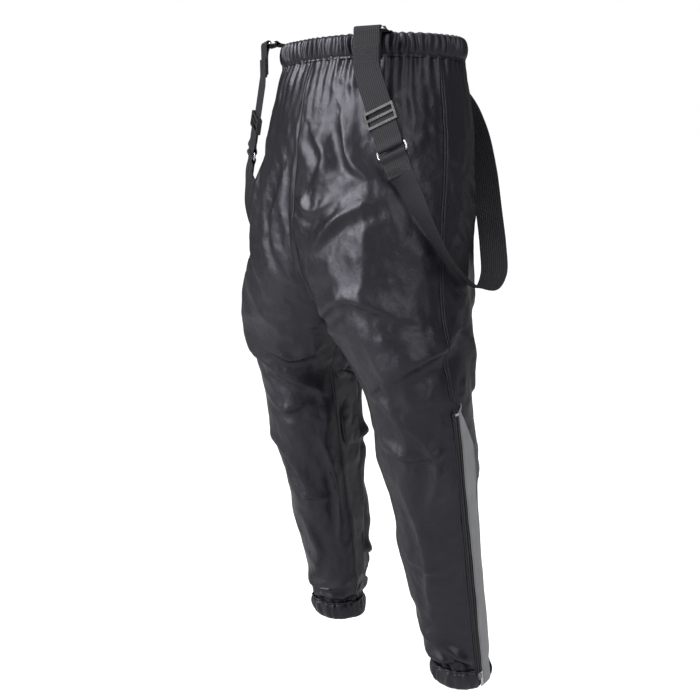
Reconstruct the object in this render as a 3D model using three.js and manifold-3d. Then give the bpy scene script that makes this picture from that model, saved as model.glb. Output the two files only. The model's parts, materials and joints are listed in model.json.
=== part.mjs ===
// Waterproof over-trousers with an elastic waist, elastic cuffs, outer leg zips, a
// reflective strip behind each zip and a pair of webbing braces that hang down at the hips.
// Millimetres, +Z up, the front faces -Y and the wearer's left is +X.
// The origin is the middle of the waist opening, level with the top of the waistband.
import * as THREE from "three";
import Module from "manifold-3d";
import { mergeVertices } from "three/addons/utils/BufferGeometryUtils.js";

const wasm = await Module();
wasm.setup();

// ---------------------------------------------------------------- driving dimensions
// Garment
const TOTAL_LENGTH = 985;
const CROTCH_DROP = 410;
const FABRIC = 1.8;
const SEAM_GAP = 0.3;
const ROUNDNESS = 2.25;
const PANEL_COLUMNS = 8;

// Half sections from the waist to the zip top: drop below the waist, sideways offset of the
// section's middle, half width, half depth and set-back of the middle behind the waist.
const WAIST_HALF_WIDTH = 155;
const WAIST_HALF_DEPTH = 110;
const HIP_HALF_WIDTH = 173;
const HIP_HALF_DEPTH = 132;
const SEAT_HALF_DEPTH = 124;
const CROTCH_HALF_WIDTH = 106;
const THIGH_HALF_WIDTH = 77;
const THIGH_HALF_DEPTH = 88;
const KNEE_HALF_WIDTH = 68;
const KNEE_HALF_DEPTH = 76;
const CALF_HALF_WIDTH = 59;
const CALF_HALF_DEPTH = 63;
const BLOUSE_HALF_WIDTH = 53;
const BLOUSE_HALF_DEPTH = 55;
const CUFF_HALF_WIDTH = 42;
const CUFF_HALF_DEPTH = 43;

// Waistband and cuffs: a folded channel with an elastic inside
const BAND_HEIGHT = 32;
const CUFF_HEIGHT = 32;
const CHANNEL_WALL = 1.6;
const ELASTIC_HEIGHT = 24;
const ELASTIC_EDGE_GAP = 0.6;
const TUCK = 5.5;

// Outer leg opening: the zip runs straight from its top down to the hem
const ZIP_TOP_DROP = 512;
const SIDE_TOP_X = 218;
const SIDE_TOP_Y = -24;
const SIDE_HEM_X = 199;
const SIDE_HEM_Y = 64;
const ZIP_HALF_WIDTH = 6.5;
const ZIP_EDGE_GAP = 0.5;
const ZIP_SLOT = 2.0;
const COIL_WIDTH = 2.4;
const COIL_HEIGHT = 1.5;
const TAPE = 1.0;
const STRIP_WIDTH = 30;
const STRIP_TIP = 20;

// Zip slider and its pull
const SLIDER_LENGTH = 9;
const SLIDER_PLATE = 1.2;
const SLIDER_GAP = 0.4;
const SLIDER_REST = 22;
const STOP_LENGTH = 4;
const ZIP_START = 2;
const PULL_LENGTH = 20;
const PULL_WIDTH = 5.2;
const PULL_THICKNESS = 1.2;

// Braces
const WEBBING_WIDTH = 40;
const WEBBING = 1.8;
const TAIL = 2.4;
const PATCH_GAP = 0.4;
const BRACE_FRONT_X = 112;
const BRACE_BACK_X = 30;
const WIRE = 3;
const RING_CLEARANCE = 1;
const RING_HALF_WIDTH = WEBBING_WIDTH / 2 + RING_CLEARANCE + WIRE / 2;
const RING_REACH = 12;
const RING_STANDOFF = 7;
const RING_RISE = 2.2;
const EYE_CLEARANCE = 0.4;
const PIVOT_DROP = 27;
const PATCH_RISE = 8;
const TAIL_DROP = 47;
const ADJUSTER_LENGTH = 24;
const ADJUSTER_RAIL = 3;
const ADJUSTER_PLATE = 1.6;
const ADJUSTER_FROM_RING = 40;

// ---------------------------------------------------------------- materials
const fabric = new THREE.MeshStandardMaterial({ color: 0x24242b, roughness: 0.42, metalness: 0 });
const elastic = new THREE.MeshStandardMaterial({ color: 0x2c2c30, roughness: 0.85, metalness: 0 });
const reflective = new THREE.MeshStandardMaterial({ color: 0x7f8084, roughness: 0.5, metalness: 0 });
const tape = new THREE.MeshStandardMaterial({ color: 0x131316, roughness: 0.75, metalness: 0 });
const webbing = new THREE.MeshStandardMaterial({ color: 0x222326, roughness: 0.8, metalness: 0 });
const steel = new THREE.MeshStandardMaterial({ color: 0xb4b6ba, roughness: 0.3, metalness: 1 });
const plastic = new THREE.MeshStandardMaterial({ color: 0x17181a, roughness: 0.45, metalness: 0 });

// ---------------------------------------------------------------- sections of the garment
const ZIP_LENGTH_SCALE = TOTAL_LENGTH - ZIP_TOP_DROP;

// The straight outer edge of a leg at a height, used from the zip top down.
function sideLine(z) {
  const share = (-z - ZIP_TOP_DROP) / ZIP_LENGTH_SCALE;
  return {
    x: SIDE_TOP_X + (SIDE_HEM_X - SIDE_TOP_X) * share,
    y: SIDE_TOP_Y + (SIDE_HEM_Y - SIDE_TOP_Y) * share,
  };
}

// Section rows: [height, middle x, half width, half depth, middle y].
const upperRows = [
  [0, 0, WAIST_HALF_WIDTH, WAIST_HALF_DEPTH, 0],
  [-BAND_HEIGHT, 0, WAIST_HALF_WIDTH, WAIST_HALF_DEPTH, 0],
  [-60, 1, WAIST_HALF_WIDTH + 5, WAIST_HALF_DEPTH + 8, -2],
  [-92, 2, HIP_HALF_WIDTH - 5, HIP_HALF_DEPTH - 7, -4],
  [-130, 5, HIP_HALF_WIDTH - 2, HIP_HALF_DEPTH - 3, -6],
  [-170, 10, HIP_HALF_WIDTH, HIP_HALF_DEPTH, -9],
  [-210, 20, HIP_HALF_WIDTH - 4, HIP_HALF_DEPTH, -15],
  [-250, 34, HIP_HALF_WIDTH - 11, HIP_HALF_DEPTH, -23],
  [-290, 51, HIP_HALF_WIDTH - 25, HIP_HALF_DEPTH - 4, -28],
  [-330, 70, HIP_HALF_WIDTH - 40, SEAT_HALF_DEPTH, -31],
  [-375, 91, CROTCH_HALF_WIDTH + 11, SEAT_HALF_DEPTH - 7, -33],
  [-CROTCH_DROP, CROTCH_HALF_WIDTH, CROTCH_HALF_WIDTH, SEAT_HALF_DEPTH - 14, -33],
  [-(CROTCH_DROP + 18), 117, 96, 104, -32],
  [-(CROTCH_DROP + 50), 131, 84, 96, -30],
  [
    -(ZIP_TOP_DROP - 14),
    SIDE_TOP_X + 0.4 - THIGH_HALF_WIDTH,
    THIGH_HALF_WIDTH,
    THIGH_HALF_DEPTH,
    SIDE_TOP_Y - 2,
  ],
];
const lowerRows = [
  [-(ZIP_TOP_DROP - 7), THIGH_HALF_WIDTH - 0.5, THIGH_HALF_DEPTH - 0.6],
  [-ZIP_TOP_DROP, THIGH_HALF_WIDTH - 1, THIGH_HALF_DEPTH - 1.2],
  [-(ZIP_TOP_DROP + STRIP_TIP - 12), THIGH_HALF_WIDTH - 1.5, THIGH_HALF_DEPTH - 2],
  [-560, THIGH_HALF_WIDTH - 4, THIGH_HALF_DEPTH - 5],
  [-610, KNEE_HALF_WIDTH + 3, KNEE_HALF_DEPTH + 4],
  [-660, KNEE_HALF_WIDTH, KNEE_HALF_DEPTH],
  [-710, KNEE_HALF_WIDTH - 2, KNEE_HALF_DEPTH - 3],
  [-760, KNEE_HALF_WIDTH - 4, KNEE_HALF_DEPTH - 5],
  [-810, CALF_HALF_WIDTH + 3, CALF_HALF_DEPTH + 4],
  [-860, CALF_HALF_WIDTH, CALF_HALF_DEPTH],
  [-900, CALF_HALF_WIDTH - 2, CALF_HALF_DEPTH - 3],
  [-(TOTAL_LENGTH - CUFF_HEIGHT - 27), BLOUSE_HALF_WIDTH, BLOUSE_HALF_DEPTH],
  [-(TOTAL_LENGTH - CUFF_HEIGHT - 13), BLOUSE_HALF_WIDTH - 4, BLOUSE_HALF_DEPTH - 5],
  [-(TOTAL_LENGTH - CUFF_HEIGHT - 3), CUFF_HALF_WIDTH, CUFF_HALF_DEPTH],
  [-TOTAL_LENGTH, CUFF_HALF_WIDTH, CUFF_HALF_DEPTH],
].map(([z, halfWidth, halfDepth]) => {
  const side = sideLine(z);
  return [z, side.x - halfWidth, halfWidth, halfDepth, side.y];
});
const sectionRows = [...upperRows, ...lowerRows];

// The section at any height, straight between the two nearest rows.
function sectionAt(z) {
  let k = 0;
  while (k < sectionRows.length - 2 && z < sectionRows[k + 1][0]) k += 1;
  const above = sectionRows[k];
  const below = sectionRows[k + 1];
  const share = THREE.MathUtils.clamp((above[0] - z) / (above[0] - below[0]), 0, 1);
  const [, x, halfWidth, halfDepth, y] = above.map((value, i) => value + (below[i] - value) * share);
  return { z, x, y, halfWidth, halfDepth };
}

const rounded = (value) => Math.sign(value) * Math.abs(value) ** (2 / ROUNDNESS);
const unrounded = (value) => Math.sign(value) * Math.abs(value) ** (ROUNDNESS / 2);

// A point of a section. The turn runs from the outer side (0) to the inner side (PI), over the
// front when face is -1 and over the back when it is 1; offset is outward.
function sectionPoint(section, turn, face, offset) {
  return new THREE.Vector3(
    section.x + (section.halfWidth + offset) * rounded(Math.cos(turn)),
    section.y + face * (section.halfDepth + offset) * rounded(Math.sin(turn)),
    section.z,
  );
}

// The turn at which a section lies a given distance in front of or behind its middle.
function turnAtDepth(section, distance, offset) {
  return Math.asin((distance / (section.halfDepth + offset)) ** (ROUNDNESS / 2));
}

// The turn at which a panel ends: on the middle plane above the crotch, at the inseam below.
function innerTurn(section, offset) {
  const seam = Math.PI - turnAtDepth(section, SEAM_GAP / 2, offset);
  const reach = (section.x - SEAM_GAP / 2) / (section.halfWidth + offset);
  if (reach >= 1) return seam;
  return Math.min(seam, Math.acos(-unrounded(reach)));
}

// The turn that is a given length of cloth further round the back from a starting turn.
function turnAfter(section, start, length) {
  const steps = 60;
  let turn = start;
  let travelled = 0;
  let last = sectionPoint(section, turn, 1, 0);
  const step = (Math.PI / 2 - start) / steps;
  for (let i = 0; i < steps; i += 1) {
    const next = sectionPoint(section, turn + step, 1, 0);
    const piece = next.distanceTo(last);
    if (travelled + piece >= length) return turn + (step * (length - travelled)) / piece;
    travelled += piece;
    turn += step;
    last = next;
  }
  return turn;
}

// How far the zip opening has spread at a height: 0 at its top, 1 below the strip's tip.
const openAt = (z) => THREE.MathUtils.clamp((-z - ZIP_TOP_DROP) / 8, 0, 1);
const tipAt = (z) => THREE.MathUtils.clamp((-z - ZIP_TOP_DROP + 12) / STRIP_TIP, 0, 1);
const zipEdge = ZIP_HALF_WIDTH + ZIP_EDGE_GAP;

// Distance in front of the side line at which the front panel ends.
const frontEdge = (z) => SEAM_GAP / 2 + (zipEdge - SEAM_GAP / 2) * openAt(z);

// Turns at which the reflective strip starts and ends.
function stripTurns(section) {
  const share = tipAt(section.z);
  const start = turnAtDepth(section, SEAM_GAP / 2 + (zipEdge - SEAM_GAP / 2) * openAt(section.z) + 0.2, 0);
  return [start, turnAfter(section, start, 0.8 + (STRIP_WIDTH - 0.8) * share)];
}

// ---------------------------------------------------------------- solids from grids of points
// A closed sheet between an outer and an inner grid of points, rows by columns.
function sheetGeometry(outer, inner) {
  const rows = outer.length;
  const columns = outer[0].length;
  const positions = [];
  const indices = [];
  [...outer, ...inner].forEach((row) => row.forEach((p) => positions.push(p.x, p.y, p.z)));
  const at = (layer, r, c) => layer * rows * columns + r * columns + c;
  const quad = (a, b, c, d) => indices.push(a, b, c, a, c, d);
  for (let r = 0; r < rows - 1; r += 1) {
    for (let c = 0; c < columns - 1; c += 1) {
      quad(at(0, r, c), at(0, r + 1, c), at(0, r + 1, c + 1), at(0, r, c + 1));
      quad(at(1, r, c), at(1, r, c + 1), at(1, r + 1, c + 1), at(1, r + 1, c));
    }
  }
  for (let r = 0; r < rows - 1; r += 1) {
    quad(at(0, r, 0), at(1, r, 0), at(1, r + 1, 0), at(0, r + 1, 0));
    quad(at(0, r, columns - 1), at(0, r + 1, columns - 1), at(1, r + 1, columns - 1), at(1, r, columns - 1));
  }
  for (let c = 0; c < columns - 1; c += 1) {
    quad(at(0, 0, c), at(0, 0, c + 1), at(1, 0, c + 1), at(1, 0, c));
    quad(at(0, rows - 1, c), at(1, rows - 1, c), at(1, rows - 1, c + 1), at(0, rows - 1, c + 1));
  }
  return facingOut(positions, indices);
}

// Rings of points swept into a solid, closed on itself or capped at both ends.
function sweptGeometry(rings, closed) {
  const sides = rings[0].length;
  const positions = [];
  const indices = [];
  rings.forEach((ring) => ring.forEach((p) => positions.push(p.x, p.y, p.z)));
  const count = rings.length;
  const last = closed ? count : count - 1;
  for (let r = 0; r < last; r += 1) {
    for (let s = 0; s < sides; s += 1) {
      const a = r * sides + s;
      const b = r * sides + ((s + 1) % sides);
      const c = ((r + 1) % count) * sides + ((s + 1) % sides);
      const d = ((r + 1) % count) * sides + s;
      indices.push(a, b, c, a, c, d);
    }
  }
  return { positions, indices, sides, count };
}

function facingOut(positions, indices) {
  let volume = 0;
  const p = (i) => new THREE.Vector3(positions[3 * i], positions[3 * i + 1], positions[3 * i + 2]);
  for (let i = 0; i < indices.length; i += 3) {
    volume += p(indices[i]).dot(p(indices[i + 1]).cross(p(indices[i + 2])));
  }
  if (volume < 0) {
    for (let i = 0; i < indices.length; i += 3) {
      [indices[i + 1], indices[i + 2]] = [indices[i + 2], indices[i + 1]];
    }
  }
  const geometry = new THREE.BufferGeometry();
  geometry.setAttribute("position", new THREE.Float32BufferAttribute(positions, 3));
  geometry.setIndex(indices);
  return geometry;
}

// Sweeps a flat profile of [offset, height] pairs round a band. Its outline may be hollow.
function bandGeometry(profile, pointAt, turns, closed) {
  const rings = turns.map((turn) => profile.map(([offset, z]) => pointAt(turn, z, offset)));
  const swept = sweptGeometry(rings, closed);
  if (!closed) {
    const cap = THREE.ShapeUtils.triangulateShape(profile.map(([u, v]) => new THREE.Vector2(u, v)), []);
    const end = (swept.count - 1) * swept.sides;
    cap.forEach(([a, b, c]) => swept.indices.push(c, b, a, end + a, end + b, end + c));
    fixCaps(swept);
  }
  return facingOut(swept.positions, swept.indices);
}

// Turns the end caps so that they agree with the walls that they close.
function fixCaps(swept) {
  const edges = new Set();
  const walls = (swept.count - 1) * swept.sides * 6;
  for (let i = 0; i < walls; i += 3) {
    for (let k = 0; k < 3; k += 1) edges.add(`${swept.indices[i + k]}>${swept.indices[i + ((k + 1) % 3)]}`);
  }
  const neighbours = (a, b) => Math.abs(a - b) === 1 || Math.abs(a - b) === swept.sides - 1;
  const border = (a, b) => neighbours(a, b) && edges.has(`${a}>${b}`);
  for (const parity of [0, 1]) {
    let wrong = false;
    for (let i = walls + 3 * parity; i < swept.indices.length; i += 6) {
      const [a, b, c] = swept.indices.slice(i, i + 3);
      wrong = wrong || border(a, b) || border(b, c) || border(c, a);
    }
    if (!wrong) continue;
    for (let i = walls + 3 * parity; i < swept.indices.length; i += 6) {
      [swept.indices[i + 1], swept.indices[i + 2]] = [swept.indices[i + 2], swept.indices[i + 1]];
    }
  }
}

const toManifold = (geometry) => {
  const bare = geometry.clone();
  bare.deleteAttribute("normal");
  bare.deleteAttribute("uv");
  const merged = mergeVertices(bare, 1e-4);
  return new wasm.Manifold(
    new wasm.Mesh({
      numProp: 3,
      vertProperties: new Float32Array(merged.attributes.position.array),
      triVerts: new Uint32Array(merged.index.array),
    }),
  );
};

const fromManifold = (solid) => {
  const mesh = solid.getMesh();
  const geometry = new THREE.BufferGeometry();
  geometry.setAttribute("position", new THREE.Float32BufferAttribute(mesh.vertProperties, 3));
  geometry.setIndex([...mesh.triVerts]);
  return geometry;
};

const joined = (...geometries) => fromManifold(geometries.map(toManifold).reduce((a, b) => a.add(b)));
const cut = (geometry, tool) => fromManifold(toManifold(geometry).subtract(toManifold(tool)));

function boxBetween([x0, y0, z0], [x1, y1, z1]) {
  const box = new THREE.BoxGeometry(x1 - x0, y1 - y0, z1 - z0);
  return box.translate((x0 + x1) / 2, (y0 + y1) / 2, (z0 + z1) / 2);
}

function shapeOf(points) {
  return new THREE.Shape(points.map(([u, v]) => new THREE.Vector2(u, v)));
}

// A flat webbing ribbon along stations, each a middle point and a width direction.
function ribbonGeometry(stations, width, thickness) {
  const rings = stations.map(({ middle, across }, i) => {
    const before = stations[Math.max(0, i - 1)].middle;
    const after = stations[Math.min(stations.length - 1, i + 1)].middle;
    const along = after.clone().sub(before).normalize();
    const side = across.clone().addScaledVector(along, -across.dot(along)).normalize();
    const face = along.clone().cross(side);
    return [[-1, -1], [1, -1], [1, 1], [-1, 1]].map(([u, v]) =>
      middle.clone().addScaledVector(side, (u * width) / 2).addScaledVector(face, (v * thickness) / 2),
    );
  });
  const swept = sweptGeometry(rings, false);
  const end = (swept.count - 1) * 4;
  swept.indices.push(0, 2, 1, 0, 3, 2, end, end + 1, end + 2, end, end + 2, end + 3);
  fixCaps(swept);
  return facingOut(swept.positions, swept.indices);
}

// ---------------------------------------------------------------- panels of the left leg
const bandTuckTop = -BAND_HEIGHT + TUCK;
const cuffMouth = -TOTAL_LENGTH + CUFF_HEIGHT;
const panelHeights = [
  bandTuckTop,
  ...sectionRows.slice(1, -1).map(([z]) => z),
  cuffMouth - TUCK,
];

function panelGrid(face, offset, startTurn) {
  return panelHeights.map((z) => {
    const section = sectionAt(z);
    const start = startTurn(section, offset);
    const end = innerTurn(section, offset);
    return Array.from({ length: PANEL_COLUMNS + 1 }, (_, c) =>
      sectionPoint(section, start + ((end - start) * c) / PANEL_COLUMNS, face, offset),
    );
  });
}

const frontStart = (section, offset) => turnAtDepth(section, frontEdge(section.z), offset);
const backStart = (section, offset) => {
  if (tipAt(section.z) === 0) return turnAtDepth(section, SEAM_GAP / 2, offset);
  return stripTurns(section)[1] + (SEAM_GAP + 0.1) / section.halfDepth;
};

const frontPanel = sheetGeometry(panelGrid(-1, 0, frontStart), panelGrid(-1, -FABRIC, frontStart));
const backPanel = sheetGeometry(panelGrid(1, 0, backStart), panelGrid(1, -FABRIC, backStart));

// The reflective strip fills the seam between the zip and the back panel down to the hem.
const stripHeights = [...panelHeights.filter((z) => tipAt(z) > 0 && z > cuffMouth), cuffMouth, -TOTAL_LENGTH];
function stripGrid(offset) {
  return stripHeights.map((z) => {
    const section = sectionAt(z);
    const [start, end] = stripTurns(section);
    return [0, 1, 2, 3].map((c) => sectionPoint(section, start + ((end - start) * c) / 3, 1, offset));
  });
}
const reflectiveStrip = sheetGeometry(stripGrid(0), stripGrid(-FABRIC));

// ---------------------------------------------------------------- waistband
const channelInner = -FABRIC - SEAM_GAP;
const channelOuter = SEAM_GAP;
const waistTurns = Array.from({ length: 4 * PANEL_COLUMNS }, (_, i) => (i * Math.PI) / (2 * PANEL_COLUMNS));
const waistSection = sectionAt(-BAND_HEIGHT);
const waistPoint = (turn, z, offset) => sectionPoint({ ...waistSection, z }, turn, 1, offset);

const waistbandCasing = bandGeometry(
  [
    [channelInner - CHANNEL_WALL, -BAND_HEIGHT],
    [channelInner - CHANNEL_WALL, 0],
    [channelOuter + CHANNEL_WALL, 0],
    [channelOuter + CHANNEL_WALL, -BAND_HEIGHT],
    [channelOuter, -BAND_HEIGHT],
    [channelOuter, -CHANNEL_WALL],
    [channelInner, -CHANNEL_WALL],
    [channelInner, -BAND_HEIGHT],
  ],
  waistPoint,
  waistTurns,
  true,
);
// The elastic lies just above the tucked edge of the panels.
const waistElasticTop = bandTuckTop + ELASTIC_EDGE_GAP + ELASTIC_HEIGHT;
const waistElastic = bandGeometry(
  [
    [-FABRIC, waistElasticTop - ELASTIC_HEIGHT],
    [-FABRIC, waistElasticTop],
    [0, waistElasticTop],
    [0, waistElasticTop - ELASTIC_HEIGHT],
  ],
  waistPoint,
  waistTurns,
  true,
);

// ---------------------------------------------------------------- cuff of the left leg
// The cuff runs from the zip round the front and the inseam to the reflective strip.
const hemSection = sectionAt(-TOTAL_LENGTH);
const cuffFrontTurn = turnAtDepth(hemSection, zipEdge, 0);
const cuffBackTurn = stripTurns(hemSection)[1] + (2 * SEAM_GAP) / hemSection.halfDepth;
const spread = (from, to) =>
  Array.from({ length: PANEL_COLUMNS }, (_, i) => from + ((to - from) * i) / PANEL_COLUMNS);
const cuffTurns = [
  ...spread(-cuffFrontTurn, -Math.PI),
  ...spread(-Math.PI, cuffBackTurn - 2 * Math.PI),
  cuffBackTurn - 2 * Math.PI,
];
const cuffPoint = (turn, z, offset) => sectionPoint(sectionAt(z), turn, 1, offset);
const hem = -TOTAL_LENGTH;
const cuffCasing = bandGeometry(
  [
    [channelInner - CHANNEL_WALL, cuffMouth],
    [channelInner - CHANNEL_WALL, hem],
    [channelOuter + CHANNEL_WALL, hem],
    [channelOuter + CHANNEL_WALL, cuffMouth],
    [channelOuter, cuffMouth],
    [channelOuter, hem + CHANNEL_WALL],
    [channelInner, hem + CHANNEL_WALL],
    [channelInner, cuffMouth],
  ],
  cuffPoint,
  cuffTurns,
  false,
);
const cuffElasticBottom = cuffMouth - TUCK - ELASTIC_EDGE_GAP - ELASTIC_HEIGHT;
const cuffElastic = bandGeometry(
  [
    [-FABRIC, cuffElasticBottom + ELASTIC_HEIGHT],
    [-FABRIC, cuffElasticBottom],
    [0, cuffElasticBottom],
    [0, cuffElasticBottom + ELASTIC_HEIGHT],
  ],
  cuffPoint,
  cuffTurns,
  false,
);

// ---------------------------------------------------------------- outer leg zip, left leg
// Zip frame: x across to the rear, y up the zip, z outward; the origin is on the hem.
const zipTop = sideLine(-ZIP_TOP_DROP);
const zipUp = new THREE.Vector3(zipTop.x - SIDE_HEM_X, zipTop.y - SIDE_HEM_Y, ZIP_LENGTH_SCALE);
const zipSpan = zipUp.length();
zipUp.normalize();
const zipOut = new THREE.Vector3(1, 0, 0);
zipOut.addScaledVector(zipUp, -zipOut.dot(zipUp)).normalize();
const zipAcross = zipUp.clone().cross(zipOut);
const zipFrame = new THREE.Matrix4().makeBasis(zipAcross, zipUp, zipOut);
zipFrame.setPosition(SIDE_HEM_X, SIDE_HEM_Y, -TOTAL_LENGTH);

const tapeTop = -0.6;
const coilTop = tapeTop + COIL_HEIGHT;
const slotHalf = ZIP_SLOT / 2;
const coilOuter = slotHalf + COIL_WIDTH;
const zipChainTop = zipSpan - 12;

// A profile in the zip frame's x and z, extruded along the zip from one length to another.
function alongZip(points, from, to) {
  const solid = new THREE.ExtrudeGeometry(shapeOf(points), { depth: to - from, bevelEnabled: false });
  return solid.rotateX(Math.PI / 2).translate(0, to, 0);
}

const zipHalfProfile = [
  [slotHalf, tapeTop - TAPE],
  [ZIP_HALF_WIDTH, tapeTop - TAPE],
  [ZIP_HALF_WIDTH, tapeTop],
  [coilOuter, tapeTop],
  [coilOuter, coilTop],
  [slotHalf, coilTop],
];
const zipRearHalf = alongZip(zipHalfProfile, ZIP_START, zipChainTop);
const zipFrontProfile = zipHalfProfile.map(([u, v]) => [-u, v]).reverse();
const zipFrontHalf = alongZip(zipFrontProfile, ZIP_START, zipChainTop);

// Stops bridge the two coil halves, with a tooth in the slot between them.
const stopBottom = SLIDER_REST - SLIDER_LENGTH / 2 - 0.5 - STOP_LENGTH;
const stopProfile = [
  [-coilOuter, coilTop + SEAM_GAP],
  [-slotHalf + SLIDER_GAP, coilTop + SEAM_GAP],
  [-slotHalf + SLIDER_GAP, tapeTop],
  [slotHalf - SLIDER_GAP, tapeTop],
  [slotHalf - SLIDER_GAP, coilTop + SEAM_GAP],
  [coilOuter, coilTop + SEAM_GAP],
  [coilOuter, coilTop + SEAM_GAP + 1],
  [-coilOuter, coilTop + SEAM_GAP + 1],
];
const zipBottomStop = alongZip(stopProfile, stopBottom, stopBottom + STOP_LENGTH);
const zipTopStop = alongZip(stopProfile, zipChainTop - 1 - STOP_LENGTH, zipChainTop - 1);
const sliderTravel = zipChainTop - 1 - STOP_LENGTH - 0.5 - SLIDER_LENGTH / 2 - SLIDER_REST;

// Slider: a top plate with flanges, a bridge through the slot, a bottom plate and a crown.
const webHalf = slotHalf - SLIDER_GAP;
const plateBottom = coilTop + SLIDER_GAP;
const plateTop = plateBottom + SLIDER_PLATE;
const flangeInner = coilOuter + SLIDER_GAP;
const flangeOuter = flangeInner + 0.8;
const underTop = tapeTop - TAPE - SLIDER_GAP;
const underBottom = underTop - SLIDER_PLATE;
const sliderBody = alongZip(
  [
    [-flangeInner, underBottom],
    [flangeInner, underBottom],
    [flangeInner, underTop],
    [webHalf, underTop],
    [webHalf, plateBottom],
    [flangeInner, plateBottom],
    [flangeInner, tapeTop + 0.6],
    [flangeOuter, tapeTop + 0.6],
    [flangeOuter, plateTop],
    [-flangeOuter, plateTop],
    [-flangeOuter, tapeTop + 0.6],
    [-flangeInner, tapeTop + 0.6],
    [-flangeInner, plateBottom],
    [-webHalf, plateBottom],
    [-webHalf, underTop],
    [-flangeInner, underTop],
  ],
  SLIDER_REST - SLIDER_LENGTH / 2,
  SLIDER_REST + SLIDER_LENGTH / 2,
);
const crownHalf = 0.9;
const crownInner = 1.8;
const crownOuter = 2.8;
const pullAxisHeight = plateTop + 0.8 + PULL_THICKNESS / 2;
const crownUnder = pullAxisHeight + PULL_THICKNESS / 2 + 0.7;
const crown = cut(
  boxBetween(
    [-crownHalf, SLIDER_REST - crownOuter, plateTop - 0.2],
    [crownHalf, SLIDER_REST + crownOuter, crownUnder + 1],
  ),
  boxBetween([-2, SLIDER_REST - crownInner, plateTop], [2, SLIDER_REST + crownInner, crownUnder]),
);
const zipSlider = joined(sliderBody, crown);

// Pull: a tag whose cross bar lies in the crown's eye; it hangs down the zip.
const pullBar = PULL_THICKNESS / 2;
const zipPull = cut(
  boxBetween(
    [-PULL_WIDTH / 2, SLIDER_REST - PULL_LENGTH, pullAxisHeight - pullBar],
    [PULL_WIDTH / 2, SLIDER_REST + pullBar, pullAxisHeight + pullBar],
  ),
  boxBetween(
    [-crownHalf - 0.6, SLIDER_REST - crownOuter - 1.6, pullAxisHeight - 2],
    [crownHalf + 0.6, SLIDER_REST - pullBar, pullAxisHeight + 2],
  ),
);

// ---------------------------------------------------------------- left brace
const bandOuter = channelOuter + CHANNEL_WALL;

// The point of the waistband's outer face at a sideways distance, at the front or the back.
function bandPoint(x, face) {
  const halfWidth = WAIST_HALF_WIDTH + bandOuter;
  const halfDepth = WAIST_HALF_DEPTH + bandOuter;
  const depth = (1 - (x / halfWidth) ** ROUNDNESS) ** (1 / ROUNDNESS);
  return new THREE.Vector3(x, face * halfDepth * depth, 0);
}

// The swing axis runs level from the front fixing to the back fixing.
const frontFoot = bandPoint(BRACE_FRONT_X, -1);
const backFoot = bandPoint(BRACE_BACK_X, 1);
const swingAxis = backFoot.clone().sub(frontFoot).normalize();
const swingAngle = Math.atan2(-swingAxis.x, swingAxis.y);

// Brace frames: x level along the webbing's width, y backwards along the axis, z up.
const braceFrame = (foot) => {
  const frame = new THREE.Matrix4().makeRotationZ(swingAngle);
  return frame.setPosition(foot.x, foot.y, 0);
};
const frontFrame = braceFrame(frontFoot);
const backFrame = braceFrame(backFoot);

// How far the garment reaches along the axis, past a foot, behind a piece of webbing.
function reachPast(foot, face, offset, height) {
  let reach = -Infinity;
  const section = height > -BAND_HEIGHT ? { ...waistSection, z: 0 } : sectionAt(height);
  for (let turn = 0; turn <= Math.PI; turn += 0.01) {
    const p = sectionPoint(section, turn, face, offset).sub(foot);
    const level = p.x * Math.cos(swingAngle) + p.y * Math.sin(swingAngle);
    if (Math.abs(level) < WEBBING_WIDTH / 2 + 2) reach = Math.max(reach, face * p.dot(swingAxis));
  }
  return reach;
}
const frontReach = Math.max(reachPast(frontFoot, -1, bandOuter, 0), reachPast(frontFoot, -1, 0, -TAIL_DROP));
const backReach = Math.max(reachPast(backFoot, 1, bandOuter, 0), reachPast(backFoot, 1, 0, -TAIL_DROP));

// A bar's eye in webbing: a round wrap with a hole, both across the webbing's width.
const eyeHoleBar = WIRE * 0.75 + EYE_CLEARANCE;
const eyeWrapBar = eyeHoleBar + WEBBING;
function acrossWebbing(radius, y, z, width) {
  const roll = new THREE.CylinderGeometry(radius, radius, width, 12);
  return roll.rotateZ(Math.PI / 2).translate(0, y, z);
}

// Waist ring: a flat wire rectangle that reaches out over the top of the waistband.
const ringInnerY = -frontReach - RING_STANDOFF;
const ringOuterY = ringInnerY - RING_REACH;
const half = WEBBING_WIDTH / 2;
function wireRing(nearY, farY, z) {
  const frame = boxBetween(
    [-RING_HALF_WIDTH - WIRE / 2, farY - WIRE / 2, z - WIRE / 2],
    [RING_HALF_WIDTH + WIRE / 2, nearY + WIRE / 2, z + WIRE / 2],
  );
  const window = boxBetween(
    [-RING_HALF_WIDTH + WIRE / 2, farY + WIRE / 2, z - WIRE],
    [RING_HALF_WIDTH - WIRE / 2, nearY - WIRE / 2, z + WIRE],
  );
  return cut(frame, window);
}
const ringBarZ = RING_RISE + 0.4;
const waistRing = wireRing(ringInnerY, ringOuterY, ringBarZ);

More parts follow.
